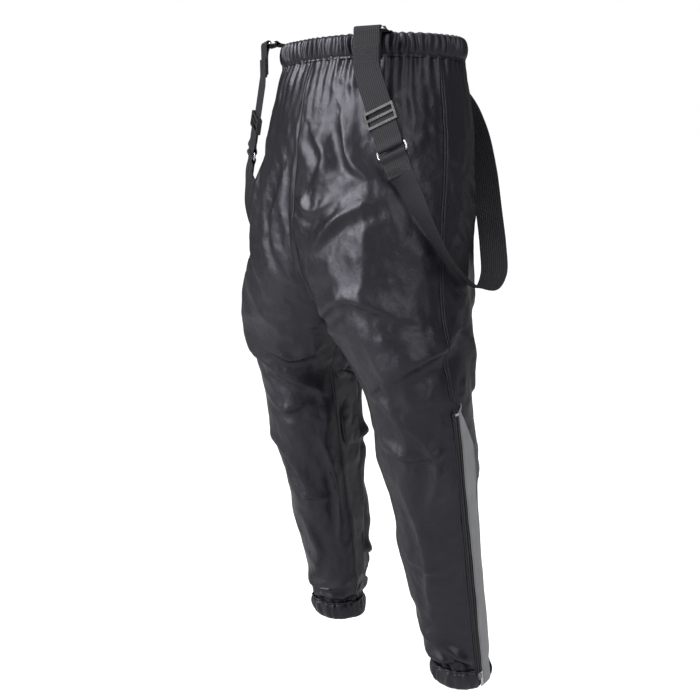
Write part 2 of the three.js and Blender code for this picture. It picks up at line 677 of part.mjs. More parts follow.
// Tab: sewn inside the waistband, over its top edge and round the ring's inner bar.
const innerFaceY = (() => {
  let far = -Infinity;
  for (let turn = 0; turn <= Math.PI; turn += 0.01) {
    const p = sectionPoint(waistSection, turn, -1, channelInner - CHANNEL_WALL).setZ(0).sub(frontFoot);
    const level = p.x * Math.cos(swingAngle) + p.y * Math.sin(swingAngle);
    if (Math.abs(level) < half + 1) far = Math.max(far, p.dot(swingAxis));
  }
  return far;
})();
const tabLegY = innerFaceY + PATCH_GAP;
const waistTab = cut(
  joined(
    boxBetween([-half, tabLegY, -BAND_HEIGHT + 4], [half, tabLegY + WEBBING, 0.5 + WEBBING]),
    boxBetween([-half, ringInnerY + eyeHoleBar, 0.5], [half, tabLegY + WEBBING, 0.5 + WEBBING]),
    acrossWebbing(eyeWrapBar, ringInnerY, ringBarZ, WEBBING_WIDTH),
  ),
  acrossWebbing(eyeHoleBar, ringInnerY, ringBarZ, WEBBING_WIDTH + 4),
);

// Hanging loop: round the ring's outer bar, with a tail that carries the swinging brace. The
// tail is flush with the front of the wrap, so that the brace swings up past it.
const tailOuterY = ringOuterY - eyeWrapBar;
const tailInnerY = tailOuterY + TAIL;
const hangingLoop = cut(
  joined(
    boxBetween([-half, tailOuterY, -TAIL_DROP], [half, tailInnerY, ringBarZ]),
    acrossWebbing(eyeWrapBar, ringOuterY, ringBarZ, WEBBING_WIDTH),
  ),
  acrossWebbing(eyeHoleBar, ringOuterY, ringBarZ, WEBBING_WIDTH + 4),
);

// Front strap: a patch in front of the tail, then straight down to the lower ring.
const patchMiddleY = tailOuterY - PATCH_GAP - WEBBING / 2;
const bendTop = new THREE.Vector3(0, patchMiddleY, -PIVOT_DROP - 21);
const lowerEnd = new THREE.Vector3(42, patchMiddleY - 9, -150);
const strapUp = bendTop.clone().sub(lowerEnd);
const strapLength = strapUp.length();
strapUp.normalize();
const strapOut = new THREE.Vector3(0, -1, 0);
strapOut.addScaledVector(strapUp, -strapOut.dot(strapUp)).normalize();
const strapAcross = strapUp.clone().cross(strapOut);
// Strap frame: x across, y inward (towards the hip), z up the strap; origin at its lower end.
const strapFrame = new THREE.Matrix4().makeBasis(strapAcross, strapOut.clone().negate(), strapUp);
strapFrame.setPosition(lowerEnd);

const foldGap = 0.4;
const foldInner = -WEBBING / 2 - foldGap;
const foldOuter = foldInner - WEBBING;
const barY = -(WEBBING + foldGap) / 2;
const topBarZ = -3;
const bottomBarZ = topBarZ - RING_REACH;
const levelAcross = new THREE.Vector3(1, 0, 0);
const alongStrap = (z) => new THREE.Vector3().addScaledVector(strapUp, z).add(lowerEnd);
const strapRibbon = ribbonGeometry(
  [
    { middle: new THREE.Vector3(0, patchMiddleY, -PIVOT_DROP + PATCH_RISE), across: levelAcross },
    { middle: new THREE.Vector3(0, patchMiddleY, -PIVOT_DROP - 14), across: levelAcross },
    { middle: new THREE.Vector3(0, patchMiddleY, -PIVOT_DROP - 18), across: levelAcross },
    { middle: alongStrap(strapLength - 6), across: strapAcross },
    { middle: alongStrap(strapLength - 10), across: strapAcross },
    { middle: alongStrap(topBarZ + eyeWrapBar - WEBBING / 2), across: strapAcross },
    { middle: alongStrap(topBarZ), across: strapAcross },
  ],
  WEBBING_WIDTH,
  WEBBING,
);
const foldLayer = joined(
  boxBetween([-half, foldOuter, topBarZ], [half, foldInner, ADJUSTER_FROM_RING + 2]),
  acrossWebbing(eyeWrapBar, barY, topBarZ, WEBBING_WIDTH),
).applyMatrix4(strapFrame);
const frontStrap = cut(
  joined(strapRibbon, foldLayer),
  acrossWebbing(eyeHoleBar, barY, topBarZ, WEBBING_WIDTH + 4).applyMatrix4(strapFrame),
);

// Adjuster: a ladder slide round both layers of the strap.
const slideInner = WEBBING / 2 + EYE_CLEARANCE;
const slideOuter = foldOuter - EYE_CLEARANCE;
const railInner = half + 0.5;
const railOuter = railInner + ADJUSTER_RAIL;
const adjusterBottom = ADJUSTER_FROM_RING - ADJUSTER_LENGTH / 2;
const adjusterTop = ADJUSTER_FROM_RING + ADJUSTER_LENGTH / 2;
const bar = (y0, y1, z0, z1) => boxBetween([-railInner - 0.5, y0, z0], [railInner + 0.5, y1, z1]);
const rail = (sign) =>
  boxBetween(
    [sign > 0 ? railInner : -railOuter, slideOuter - ADJUSTER_PLATE, adjusterBottom],
    [sign > 0 ? railOuter : -railInner, slideInner + ADJUSTER_PLATE, adjusterTop],
  );
const adjuster = joined(
  rail(1),
  rail(-1),
  bar(slideOuter - ADJUSTER_PLATE, slideOuter, adjusterTop - 3.5, adjusterTop),
  bar(slideOuter - ADJUSTER_PLATE, slideOuter, ADJUSTER_FROM_RING - 1.75, ADJUSTER_FROM_RING + 1.75),
  bar(slideOuter - ADJUSTER_PLATE, slideOuter, adjusterBottom, adjusterBottom + 3.5),
  bar(slideInner, slideInner + ADJUSTER_PLATE, adjusterTop - 3.5, adjusterTop),
  bar(slideInner, slideInner + ADJUSTER_PLATE, adjusterBottom, adjusterBottom + 3.5),
);

// Lower ring: a wire rectangle in the plane of the strap.
const lowerRing = cut(
  boxBetween(
    [-RING_HALF_WIDTH - WIRE / 2, barY - WIRE / 2, bottomBarZ - WIRE / 2],
    [RING_HALF_WIDTH + WIRE / 2, barY + WIRE / 2, topBarZ + WIRE / 2],
  ),
  boxBetween(
    [-RING_HALF_WIDTH + WIRE / 2, barY - WIRE, bottomBarZ + WIRE / 2],
    [RING_HALF_WIDTH - WIRE / 2, barY + WIRE, topBarZ - WIRE / 2],
  ),
);

// Long strap: from the lower ring down past the thigh, under in a hanging bow and up the
// back of the hip to the back fixing. Each station: point and level angle of the width.
const strapInGarment = new THREE.Matrix4().multiplyMatrices(frontFrame, strapFrame);
const bowStart = new THREE.Vector3(0, barY, bottomBarZ).applyMatrix4(strapInGarment);
const bowStartAcross = new THREE.Vector3(1, 0, 0).transformDirection(strapInGarment);
const bowNext = new THREE.Vector3(0, barY, bottomBarZ - 14).applyMatrix4(strapInGarment);
const backPatchY = backReach + PATCH_GAP + TAIL + PATCH_GAP + WEBBING / 2;
const inBack = (x, z) => new THREE.Vector3(x, backPatchY, z).applyMatrix4(backFrame);
const level = (degrees) => {
  const angle = THREE.MathUtils.degToRad(degrees);
  return new THREE.Vector3(Math.cos(angle), Math.sin(angle), 0);
};
const swingDegrees = THREE.MathUtils.radToDeg(swingAngle);
// The bow is drawn for webbing of this half width, and wider webbing hangs further out.
const BOW_HALF_WIDTH = 20;
function bowPoint(x, y, z) {
  const outward = new THREE.Vector3(x, y, 0).normalize();
  return new THREE.Vector3(x, y, z).addScaledVector(outward, half - BOW_HALF_WIDTH);
}
const bowPoints = [
  [bowStart, bowStartAcross],
  [bowNext, bowStartAcross],
  [bowPoint(190, -93, -206), level(8)],
  [bowPoint(207, -79, -248), level(-8)],
  [bowPoint(219, -50, -297), level(-25)],
  [bowPoint(224, -10, -336), level(-30)],
  [bowPoint(219, 30, -350), level(-5)],
  [bowPoint(199, 68, -335), level(20)],
  [bowPoint(170, 96, -296), level(30)],
  [bowPoint(149, 108, -246), level(28)],
  [bowPoint(128, 118, -186), level(16)],
  [bowPoint(94, 128, -120), level(8)],
  [bowPoint(52, 132, -76), level(14)],
  [inBack(3, -56), level(swingDegrees)],
  [inBack(0, -44), level(swingDegrees)],
  [inBack(0, -PIVOT_DROP - 4), level(swingDegrees)],
];
const bowCurve = new THREE.CatmullRomCurve3(bowPoints.map(([point]) => point));
const bowWidths = new THREE.CatmullRomCurve3(bowPoints.map(([, across]) => across));
const bowStations = Array.from({ length: 46 }, (_, i) => ({
  middle: bowCurve.getPoint(i / 45),
  across: bowWidths.getPoint(i / 45).normalize(),
}));
const backPatch = boxBetween(
  [-half, backPatchY - WEBBING / 2, -PIVOT_DROP - 16],
  [half, backPatchY + WEBBING / 2, -PIVOT_DROP + PATCH_RISE],
).applyMatrix4(backFrame);
const longStrap = cut(
  joined(
    ribbonGeometry(bowStations, WEBBING_WIDTH, WEBBING),
    backPatch,
    acrossWebbing(eyeWrapBar, barY, bottomBarZ, WEBBING_WIDTH).applyMatrix4(strapInGarment),
  ),
  acrossWebbing(eyeHoleBar, barY, bottomBarZ, WEBBING_WIDTH + 4).applyMatrix4(strapInGarment),
);

// Back tab: the fixed webbing that the long strap's end lies on.
const backTab = boxBetween(
  [-half, backReach + PATCH_GAP, -TAIL_DROP],
  [half, backReach + PATCH_GAP + TAIL, -2],
);

// ---------------------------------------------------------------- assembly
const garment = new THREE.Group();

function mesh(name, geometry, material, frame) {
  const piece = new THREE.Mesh(geometry, material);
  piece.name = name;
  if (frame) piece.applyMatrix4(frame);
  return piece;
}

garment.add(mesh("waistband_casing", waistbandCasing, fabric));
garment.add(mesh("waist_elastic", waistElastic, elastic));

for (const side of ["left", "right"]) {
  const leg = new THREE.Group();
  leg.add(mesh(`front_panel_${side}`, frontPanel, fabric));
  leg.add(mesh(`back_panel_${side}`, backPanel, fabric));
  leg.add(mesh(`reflective_strip_${side}`, reflectiveStrip, reflective));
  leg.add(mesh(`cuff_casing_${side}`, cuffCasing, fabric));
  leg.add(mesh(`cuff_elastic_${side}`, cuffElastic, elastic));
  leg.add(mesh(`zip_front_half_${side}`, zipFrontHalf, tape, zipFrame));
  leg.add(mesh(`zip_rear_half_${side}`, zipRearHalf, tape, zipFrame));
  leg.add(mesh(`zip_top_stop_${side}`, zipTopStop, steel, zipFrame));
  leg.add(mesh(`zip_bottom_stop_${side}`, zipBottomStop, steel, zipFrame));
  leg.add(mesh(`zip_slider_${side}`, zipSlider, steel, zipFrame));
  leg.add(mesh(`zip_pull_${side}`, zipPull, steel, zipFrame));
  leg.add(mesh(`brace_tab_${side}`, waistTab, webbing, frontFrame));
  leg.add(mesh(`brace_waist_ring_${side}`, waistRing, steel, frontFrame));
  leg.add(mesh(`brace_loop_${side}`, hangingLoop, webbing, frontFrame));
  leg.add(mesh(`brace_front_strap_${side}`, frontStrap, webbing, frontFrame));
  leg.add(mesh(`brace_adjuster_${side}`, adjuster, plastic, strapInGarment));
  leg.add(mesh(`brace_lower_ring_${side}`, lowerRing, steel, strapInGarment));
  leg.add(mesh(`brace_long_strap_${side}`, longStrap, webbing));
  leg.add(mesh(`brace_back_tab_${side}`, backTab, webbing, backFrame));
  if (side === "right") leg.scale.x = -1;
  garment.add(leg);
}

// Motion axes of the left side, in millimetres.
garment.userData.motions = {
  swingPoint: new THREE.Vector3(0, patchMiddleY, -PIVOT_DROP).applyMatrix4(frontFrame).toArray(),
  swingAxis: swingAxis.toArray(),
  adjusterPoint: new THREE.Vector3(0, 0, ADJUSTER_FROM_RING).applyMatrix4(strapInGarment).toArray(),
  adjusterAxis: new THREE.Vector3(0, 0, 1).transformDirection(strapInGarment).toArray(),
  sliderPoint: new THREE.Vector3(0, SLIDER_REST, 0).applyMatrix4(zipFrame).toArray(),
  sliderAxis: zipUp.toArray(),
  sliderTravel,
  pullPoint: new THREE.Vector3(0, SLIDER_REST, pullAxisHeight).applyMatrix4(zipFrame).toArray(),
  pullAxis: zipAcross.toArray(),
};

export default garment;
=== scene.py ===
import json
import math

import bmesh
import bpy
import numpy as np
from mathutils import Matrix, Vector, noise


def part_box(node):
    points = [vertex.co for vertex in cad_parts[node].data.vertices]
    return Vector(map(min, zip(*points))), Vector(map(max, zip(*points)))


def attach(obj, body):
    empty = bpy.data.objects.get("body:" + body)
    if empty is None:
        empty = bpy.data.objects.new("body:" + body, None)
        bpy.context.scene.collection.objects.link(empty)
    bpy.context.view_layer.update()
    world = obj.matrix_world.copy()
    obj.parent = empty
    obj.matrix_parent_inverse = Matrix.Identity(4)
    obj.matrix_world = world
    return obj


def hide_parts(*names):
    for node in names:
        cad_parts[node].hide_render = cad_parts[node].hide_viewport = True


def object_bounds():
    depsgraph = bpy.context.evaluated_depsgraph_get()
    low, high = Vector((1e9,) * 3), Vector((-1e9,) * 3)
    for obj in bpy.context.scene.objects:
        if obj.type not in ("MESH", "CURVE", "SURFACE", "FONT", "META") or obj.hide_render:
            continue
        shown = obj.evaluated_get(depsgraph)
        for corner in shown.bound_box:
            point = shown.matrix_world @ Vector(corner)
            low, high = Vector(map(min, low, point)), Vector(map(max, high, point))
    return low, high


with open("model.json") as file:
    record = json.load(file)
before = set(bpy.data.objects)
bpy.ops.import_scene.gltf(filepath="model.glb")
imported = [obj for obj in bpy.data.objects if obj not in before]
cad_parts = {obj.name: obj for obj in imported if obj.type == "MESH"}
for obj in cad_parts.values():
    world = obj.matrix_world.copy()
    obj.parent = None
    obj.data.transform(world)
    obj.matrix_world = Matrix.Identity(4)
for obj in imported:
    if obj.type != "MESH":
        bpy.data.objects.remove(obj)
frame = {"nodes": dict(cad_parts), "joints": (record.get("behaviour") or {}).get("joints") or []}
cad_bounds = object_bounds()

# ---------------------------------------------------------------- studio
# A pale seamless floor and soft boxes round a garment that stands as if worn. The camera is to
# the wearer's front left, at the height of the hips, and looks slightly down.
CAMERA_AZIMUTH = math.radians(50)
CAMERA_DISTANCE = 1.564
CAMERA_HEIGHT = -0.17
CAMERA_PITCH = math.radians(-10.8)
CAMERA_YAW = math.radians(51.15)
LENS = 51.4
SENSOR_WIDTH = 36
FLOOR_DROP = 0.09
FLOOR_HALF = 30.0
FLOOR_GLOW = 0.78
BACKDROP_GLOW = 1.0
ROOM_GLOSS = 0.10

camera_data = bpy.data.cameras.new("camera")
camera_data.lens = LENS
camera_data.sensor_width = SENSOR_WIDTH
camera_data.clip_start = 0.05
camera = bpy.data.objects.new("camera", camera_data)
camera.location = (
    CAMERA_DISTANCE * math.sin(CAMERA_AZIMUTH),
    -CAMERA_DISTANCE * math.cos(CAMERA_AZIMUTH),
    CAMERA_HEIGHT,
)
camera.rotation_euler = (math.pi / 2 + CAMERA_PITCH, 0, CAMERA_YAW)
bpy.context.scene.collection.objects.link(camera)
bpy.context.scene.camera = camera
bpy.context.scene.view_settings.view_transform = "Standard"


def plain_material(name, color, roughness, metallic=0.0):
    material = bpy.data.materials.new(name)
    material.use_nodes = True
    shader = material.node_tree.nodes["Principled BSDF"]
    shader.inputs["Base Color"].default_value = (*color, 1)
    shader.inputs["Roughness"].default_value = roughness
    shader.inputs["Metallic"].default_value = metallic
    return material


def soft_box(name, place, target, size, power):
    light = bpy.data.lights.new(name, "AREA")
    light.shape = "RECTANGLE"
    light.size, light.size_y = size
    light.energy = power
    lamp = bpy.data.objects.new(name, light)
    lamp.location = place
    direction = Vector(target) - Vector(place)
    lamp.rotation_euler = direction.to_track_quat("-Z", "Y").to_euler()
    bpy.context.scene.collection.objects.link(lamp)


floor_mesh = bpy.data.meshes.new("floor")
floor_z = cad_bounds[0][2] - FLOOR_DROP
floor_corners = ((-1, -1), (1, -1), (1, 1), (-1, 1))
floor_mesh.from_pydata(
    [(x * FLOOR_HALF, y * FLOOR_HALF, floor_z) for x, y in floor_corners], [], [(0, 1, 2, 3)]
)
floor = bpy.data.objects.new("floor", floor_mesh)
floor_finish = plain_material("pale_floor", (0.36, 0.36, 0.36), 0.95)
floor_tree = floor_finish.node_tree
floor_seen = floor_tree.nodes.new("ShaderNodeLightPath")
floor_glow = floor_tree.nodes.new("ShaderNodeMath")
floor_glow.operation = "MULTIPLY"
floor_glow.inputs[1].default_value = FLOOR_GLOW
floor_tree.links.new(floor_seen.outputs["Is Camera Ray"], floor_glow.inputs[0])
floor_tree.links.new(floor_glow.outputs[0], floor_tree.nodes["Principled BSDF"].inputs["Emission Strength"])
floor_tree.nodes["Principled BSDF"].inputs["Emission Color"].default_value = (1, 1, 1, 1)
floor_mesh.materials.append(floor_finish)
bpy.context.scene.collection.objects.link(floor)

world = bpy.data.worlds.new("pale_room")
world.use_nodes = True
world.node_tree.nodes["Background"].inputs["Color"].default_value = (1, 1, 1, 1)
room = world.node_tree.nodes
room["Background"].inputs["Strength"].default_value = ROOM_GLOSS
backdrop = room.new("ShaderNodeBackground")
backdrop.inputs["Color"].default_value = (1, 1, 1, 1)
backdrop.inputs["Strength"].default_value = BACKDROP_GLOW
seen = room.new("ShaderNodeLightPath")
room_mix = room.new("ShaderNodeMixShader")
world.node_tree.links.new(seen.outputs["Is Glossy Ray"], room_mix.inputs[0])
world.node_tree.links.new(backdrop.outputs[0], room_mix.inputs[1])
world.node_tree.links.new(room["Background"].outputs[0], room_mix.inputs[2])
world.node_tree.links.new(room_mix.outputs[0], room["World Output"].inputs["Surface"])
bpy.context.scene.world = world
soft_box("key", (-0.9, -2.2, 1.5), (0, 0, -0.35), (0.9, 1.4), 85)
soft_box("fill", (2.6, -0.6, 0.9), (0.1, 0, -0.5), (1.0, 1.8), 26)
soft_box("top", (0.2, 0.4, 2.3), (0, 0, -0.4), (1.6, 1.2), 30)
soft_box("shins", (-0.2, -2.4, 0.1), (0.05, 0, -0.78), (0.5, 1.3), 30)

# ---------------------------------------------------------------- trouser shell
# Front and back panels of thin coated nylon, joined at the centre, the inseam and the side. They
# are cut longer and wider than they hang, and gathered at the waist and the ankles by elastic.
SIDES = {"left": 1, "right": -1}
PANEL_ROWS = 92
FRONT_COLUMNS = 22
ZIP_COLUMNS = 2
STRIP_COLUMNS = 3
BACK_COLUMNS = 20
ZIP_HALF_WIDTH = 0.007
ZIP_GAP = 0.02
STRIP_WIDTH = 0.030
FABRIC = 0.0006
COLUMNS = FRONT_COLUMNS + ZIP_COLUMNS + STRIP_COLUMNS + BACK_COLUMNS
ZIP_START = FRONT_COLUMNS
STRIP_START = FRONT_COLUMNS + ZIP_COLUMNS
STRIP_END = STRIP_START + STRIP_COLUMNS

ZIP_TOP = round(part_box("zip_front_half_left")[1].z, 4)
SHELL_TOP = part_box("front_panel_left")[1].z
SHELL_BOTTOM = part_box("front_panel_left")[0].z


def outer_row(node, z, points):
    """The outer layer of a panel's row, from the side of the leg to its inner edge."""
    row = points[np.abs(points[:, 2] - z) < 2e-5]
    middle = np.array([(row[:, 0].min() + row[:, 0].max()) / 2, row[np.argmax(row[:, 0]), 1]])
    flat = row[:, :2] - middle
    apart = np.linalg.norm(row[:, None, :2] - row[None, :, :2], axis=2) + np.eye(len(row))
    partner = np.argmin(apart, axis=1)
    reach = np.linalg.norm(flat, axis=1)
    outer = row[reach > reach[partner]]
    angle = np.abs(np.arctan2(outer[:, 1] - middle[1], outer[:, 0] - middle[0]))
    return outer[np.argsort(angle)]


def cad_points(node):
    """The corners of a CAD piece."""
    return np.unique(np.round([tuple(v.co) for v in frame["nodes"][node].data.vertices], 5), axis=0)


def lengths_along(points):
    """How far along a line each of its points lies."""
    return np.concatenate([[0], np.cumsum(np.linalg.norm(np.diff(points, axis=0), axis=1))])


def resampled(points, lengths):
    """Points at given lengths along a smooth curve through points."""
    at = lengths_along(points)
    slopes = np.gradient(points, at, axis=0)
    k = np.clip(np.searchsorted(at, lengths, side="right") - 1, 0, len(at) - 2)
    span = (at[k + 1] - at[k])[:, None]
    t = ((lengths - at[k])[:, None]) / span
    a, b = points[k], points[k + 1]
    return (
        (2 * t**3 - 3 * t**2 + 1) * a
        + (t**3 - 2 * t**2 + t) * span * slopes[k]
        + (3 * t**2 - 2 * t**3) * b
        + (t**3 - t**2) * span * slopes[k + 1]
    )


def shell_row(front, back):
    """One row of the left half: front inner edge, side, back inner edge."""
    line = np.vstack([front[::-1], back])
    line[:, 0] = np.maximum(line[:, 0], 0)
    steps = lengths_along(line)
    side = steps[len(front) - 1 : len(front) + 1].mean()
    if steps[len(front)] - steps[len(front) - 1] > ZIP_GAP:
        side = steps[len(front) - 1] + ZIP_HALF_WIDTH
    zip_rear = side + ZIP_HALF_WIDTH
    marks = [0, side - ZIP_HALF_WIDTH, zip_rear, zip_rear + STRIP_WIDTH, steps[-1]]
    counts = [FRONT_COLUMNS, ZIP_COLUMNS, STRIP_COLUMNS, BACK_COLUMNS]
    lengths = np.concatenate(
        [np.linspace(a, b, n, endpoint=False) for a, b, n in zip(marks, marks[1:], counts)] + [[marks[-1]]]
    )
    return resampled(line, lengths)


front_points = cad_points("front_panel_left")
back_points = cad_points("back_panel_left")
levels = np.array(sorted({round(z, 4) for z in front_points[:, 2]}, reverse=True))
cad_rows = np.array(
    [
        shell_row(
            outer_row("front_panel_left", z, front_points),
            outer_row("back_panel_left", z, back_points),
        )
        for z in levels
    ]
)
CROTCH = min(z for z, row in zip(levels, cad_rows) if row[0, 0] < 0.002 and np.ptp(row[[0, -1], 1]) > 0.02)
CROTCH = levels[list(levels).index(CROTCH) + 1]
above_rows = round(PANEL_ROWS * (SHELL_TOP - CROTCH) / (SHELL_TOP - SHELL_BOTTOM))
middle_rows = round(PANEL_ROWS * (CROTCH - ZIP_TOP) / (SHELL_TOP - SHELL_BOTTOM))
heights = np.concatenate(
    [
        np.linspace(SHELL_TOP, CROTCH, above_rows, endpoint=False),
        np.linspace(CROTCH, ZIP_TOP, middle_rows, endpoint=False),
        np.linspace(ZIP_TOP, SHELL_BOTTOM, PANEL_ROWS - above_rows - middle_rows + 1),
    ]
)
ROWS = len(heights)
CROTCH_ROW = above_rows
ZIP_ROW = above_rows + middle_rows
worn = np.array(
    [[np.interp(-heights, -levels, cad_rows[:, c, axis]) for c in range(COLUMNS + 1)] for axis in range(3)]
).transpose(2, 1, 0)
worn[: CROTCH_ROW + 1, [0, -1], 0] = 0
worn[CROTCH_ROW:, -1] = worn[CROTCH_ROW:, 0]

# Cloth cut wider at the waist and the ankles than the elastic lets it hang, and longer all over.
EXTRA_WAIST = 0.20
EXTRA_CUFF = 0.42
WAIST_FADE = 0.05
CUFF_FADE = 0.06
EXTRA_WIDTH = 0.032
EXTRA_LENGTH = 0.075
below_waist = (SHELL_TOP - heights)[:, None]
above_cuff = (heights - SHELL_BOTTOM)[:, None]
widening = (
    1
    + EXTRA_WIDTH
    + EXTRA_WAIST * np.exp(-below_waist / WAIST_FADE)
    + EXTRA_CUFF * np.exp(-above_cuff / CUFF_FADE)
)
crotch_share = np.clip((CROTCH + 0.05 - heights) / 0.06, 0, 1)[:, None]
leg_middle = (worn[:, :, 0].max(axis=1) + worn[:, :, 0].min(axis=1))[:, None] / 2 * crotch_share
middle_y = (worn[:, :, 1].max(axis=1) + worn[:, :, 1].min(axis=1))[:, None] / 2


def scaled(rows, share):
    """Rows of the left half pulled to or from the middle of the body, or of the leg."""
    made = rows.copy()
    made[:, :, 0] = leg_middle + (rows[:, :, 0] - leg_middle) * share
    made[:, :, 1] = middle_y + (rows[:, :, 1] - middle_y) * share
    return made


cut_rows = scaled(worn, widening)
cut_rows[:, :, 2] *= 1 + EXTRA_LENGTH

# The wearer's hips and legs, which the cloth rests on and which aren't kept.
BODY_FIT = [
    (0.0, 0.985), (-0.10, 0.955), (-0.20, 0.95), (-0.33, 0.93), (-0.45, 0.88), (-0.53, 0.84),
    (-0.62, 0.90), (-0.70, 0.80), (-0.80, 0.80), (-0.90, 0.72), (-1.0, 0.74),
]
fit = np.interp(-heights, [-z for z, _ in BODY_FIT], [share for _, share in BODY_FIT])[:, None]
body_rows = scaled(worn, fit)


def shell_indices():
    """Vertex numbers of both halves, shared along the centre seams and the inseams."""
    count = 0
    index = {}
    for side in SIDES:
        numbers = np.zeros((ROWS, COLUMNS + 1), int)
        for r in range(ROWS):
            for c in range(COLUMNS + 1):
                if side == "right" and r <= CROTCH_ROW and c in (0, COLUMNS):
                    numbers[r, c] = index["left"][r, c]
                elif c == COLUMNS and r >= CROTCH_ROW:
                    numbers[r, c] = numbers[r, 0]
                else:
                    numbers[r, c] = count
                    count += 1
        index[side] = numbers
    return index, count


shell_index, shell_count = shell_indices()


def shell_points(rows):
    """The points of both halves, from the rows of the left half."""
    points = np.zeros((shell_count, 3))
    for side, sign in SIDES.items():
        points[shell_index[side].ravel()] = (rows * (sign, 1, 1)).reshape(-1, 3)
    return points


def shell_faces():
    faces = []
    for side, sign in SIDES.items():
        n = shell_index[side]
        for r in range(ROWS - 1):
            for c in range(COLUMNS):
                quad = [n[r, c], n[r + 1, c], n[r + 1, c + 1], n[r, c + 1]]
                faces.append([int(i) for i in (quad if sign > 0 else quad[::-1])])
    return faces


def mesh_object(name, points, faces):
    """A mesh in the scene from points and faces."""
    mesh = bpy.data.meshes.new(name)
    mesh.from_pydata([tuple(p) for p in points], [], faces)
    mesh.validate()
    made = bpy.data.objects.new(name, mesh)
    bpy.context.scene.collection.objects.link(made)
    return made


SIM_FRAMES = 44
SIM_SEED = 7
SEED_RIPPLE = 0.001
CLOTH_GAP = 0.003
BODY_FRICTION = 12
NYLON = {
    "quality": 5,
    "mass": 0.12,
    "tension_stiffness": 25,
    "compression_stiffness": 25,
    "shear_stiffness": 8,
    "bending_stiffness": 0.8,
    "air_damping": 3,
    "use_pressure": True,
    "uniform_pressure_force": 0.04,
}


def hung_shell():
    """Hangs the cut cloth between the waist and the ankles, and returns its points."""
    scene = bpy.context.scene
    rng = np.random.default_rng(SIM_SEED)
    start = shell_points(worn)
    faces = shell_faces()
    body = mesh_object("wearer", shell_points(body_rows), faces)
    body.modifiers.new("collision", "COLLISION")
    body.collision.thickness_outer = CLOTH_GAP
    body.collision.cloth_friction = BODY_FRICTION
    cloth = mesh_object("hanging_shell", start + rng.normal(0, SEED_RIPPLE, start.shape), faces)
    cloth.shape_key_add(name="worn")
    cut = cloth.shape_key_add(name="cut")
    cut.data.foreach_set("co", shell_points(cut_rows).astype(np.float32).ravel())
    held = np.zeros(shell_count)
    for side in SIDES:
        held[shell_index[side][:2].ravel()] = 1
        held[shell_index[side][-2:].ravel()] = 1
        held[shell_index[side][ZIP_ROW:, ZIP_START : STRIP_START + 1].ravel()] = 1
    group = cloth.vertex_groups.new(name="held")
    group.add([int(i) for i in np.flatnonzero(held)], 1, "REPLACE")
    sim = cloth.modifiers.new("hang", "CLOTH")
    for setting, value in NYLON.items():
        setattr(sim.settings, setting, value)
    sim.settings.vertex_group_mass = "held"
    sim.settings.rest_shape_key = cut
    sim.collision_settings.collision_quality = 2
    sim.collision_settings.distance_min = CLOTH_GAP
    sim.collision_settings.use_self_collision = False
    sim.point_cache.frame_end = SIM_FRAMES
    for step in range(1, SIM_FRAMES + 1):
        scene.frame_set(step)
    evaluated = cloth.evaluated_get(bpy.context.evaluated_depsgraph_get())
    points = np.zeros(shell_count * 3, np.float32)
    evaluated.data.vertices.foreach_get("co", points)
    for made in (cloth, body):
        bpy.data.objects.remove(made, do_unlink=True)
    scene.frame_set(1)
    return points.reshape(-1, 3)


# The hung cloth as two grids, one for each half, a little finer than it was hung.
ROW_SPLIT = 3
COLUMN_SPLIT = 4
shell_points_hung = hung_shell()
FARTHEST_HANG = 0.030
INSEAM_HANG = 0.004
INSEAM_COLUMNS = 9
hung_move = shell_points_hung - shell_points(worn)
hung_reach = np.linalg.norm(hung_move, axis=1)[:, None]


def farthest_hang():
    """How far each point may hang away: little at the inner thighs, where the legs stay apart."""
    inner = np.minimum(np.arange(COLUMNS + 1), COLUMNS - np.arange(COLUMNS + 1)) / INSEAM_COLUMNS
    thigh = np.clip((CROTCH + 0.07 - heights) / 0.05, 0, 1)[:, None]
    reach = FARTHEST_HANG - (FARTHEST_HANG - INSEAM_HANG) * thigh * np.clip(1 - inner, 0, 1)[None, :]
    points = np.zeros((shell_count, 1))
    for side in SIDES:
        points[shell_index[side].ravel(), 0] = reach.ravel()
    return points


hung_share = np.minimum(1, farthest_hang() / np.maximum(hung_reach, 1e-9))
shell_points_hung = shell_points(worn) + hung_move * hung_share


def refined(rows, times):
    """Rows with more rows between them, on smooth curves through the old ones."""
    count = len(rows)
    padded_rows = np.concatenate([2 * rows[:1] - rows[1:2], rows, 2 * rows[-1:] - rows[-2:-1]])
    at = np.linspace(0, count - 1, (count - 1) * times + 1)
    k = np.minimum(at.astype(int), count - 2)
    t = (at - k).reshape(-1, *[1] * (rows.ndim - 1))
    a, b, c, d = (padded_rows[k + i] for i in range(4))
    return 0.5 * (2 * b + (c - a) * t + (2 * a - 5 * b + 4 * c - d) * t**2 + (3 * b - a - 3 * c + d) * t**3)


def grid_normals(grid):
    """The direction that a grid of points faces, at each point."""
    along = np.gradient(grid, axis=0)
    across = np.gradient(grid, axis=1)
    normals = np.cross(along, across)
    return normals / np.maximum(np.linalg.norm(normals, axis=2, keepdims=True), 1e-12)


# Fine gathers under the waistband and over the cuffs, which fade into the hung folds.
GATHERS_WAIST = 62
GATHERS_CUFF = 19
GATHER_DEPTH = 0.0021
GATHER_FADE = 0.026


def gather_wave(share, drop, count, seed):
    """A soft, uneven ruffle round an elastic edge, between -1 and 1, that wanders as it falls."""
    phase = 2 * np.pi * count * share + 1.3 * np.sin(2 * np.pi * 5 * share + seed) + seed
    drift = 0.9 * np.sin(2 * np.pi * 9 * share + 30 * drop + 2 * seed)
    return 0.62 * np.sin(phase + drift) + 0.38 * np.sin(0.53 * phase - 1.7 * drift + 0.7 * seed)


SOFTENING = 2


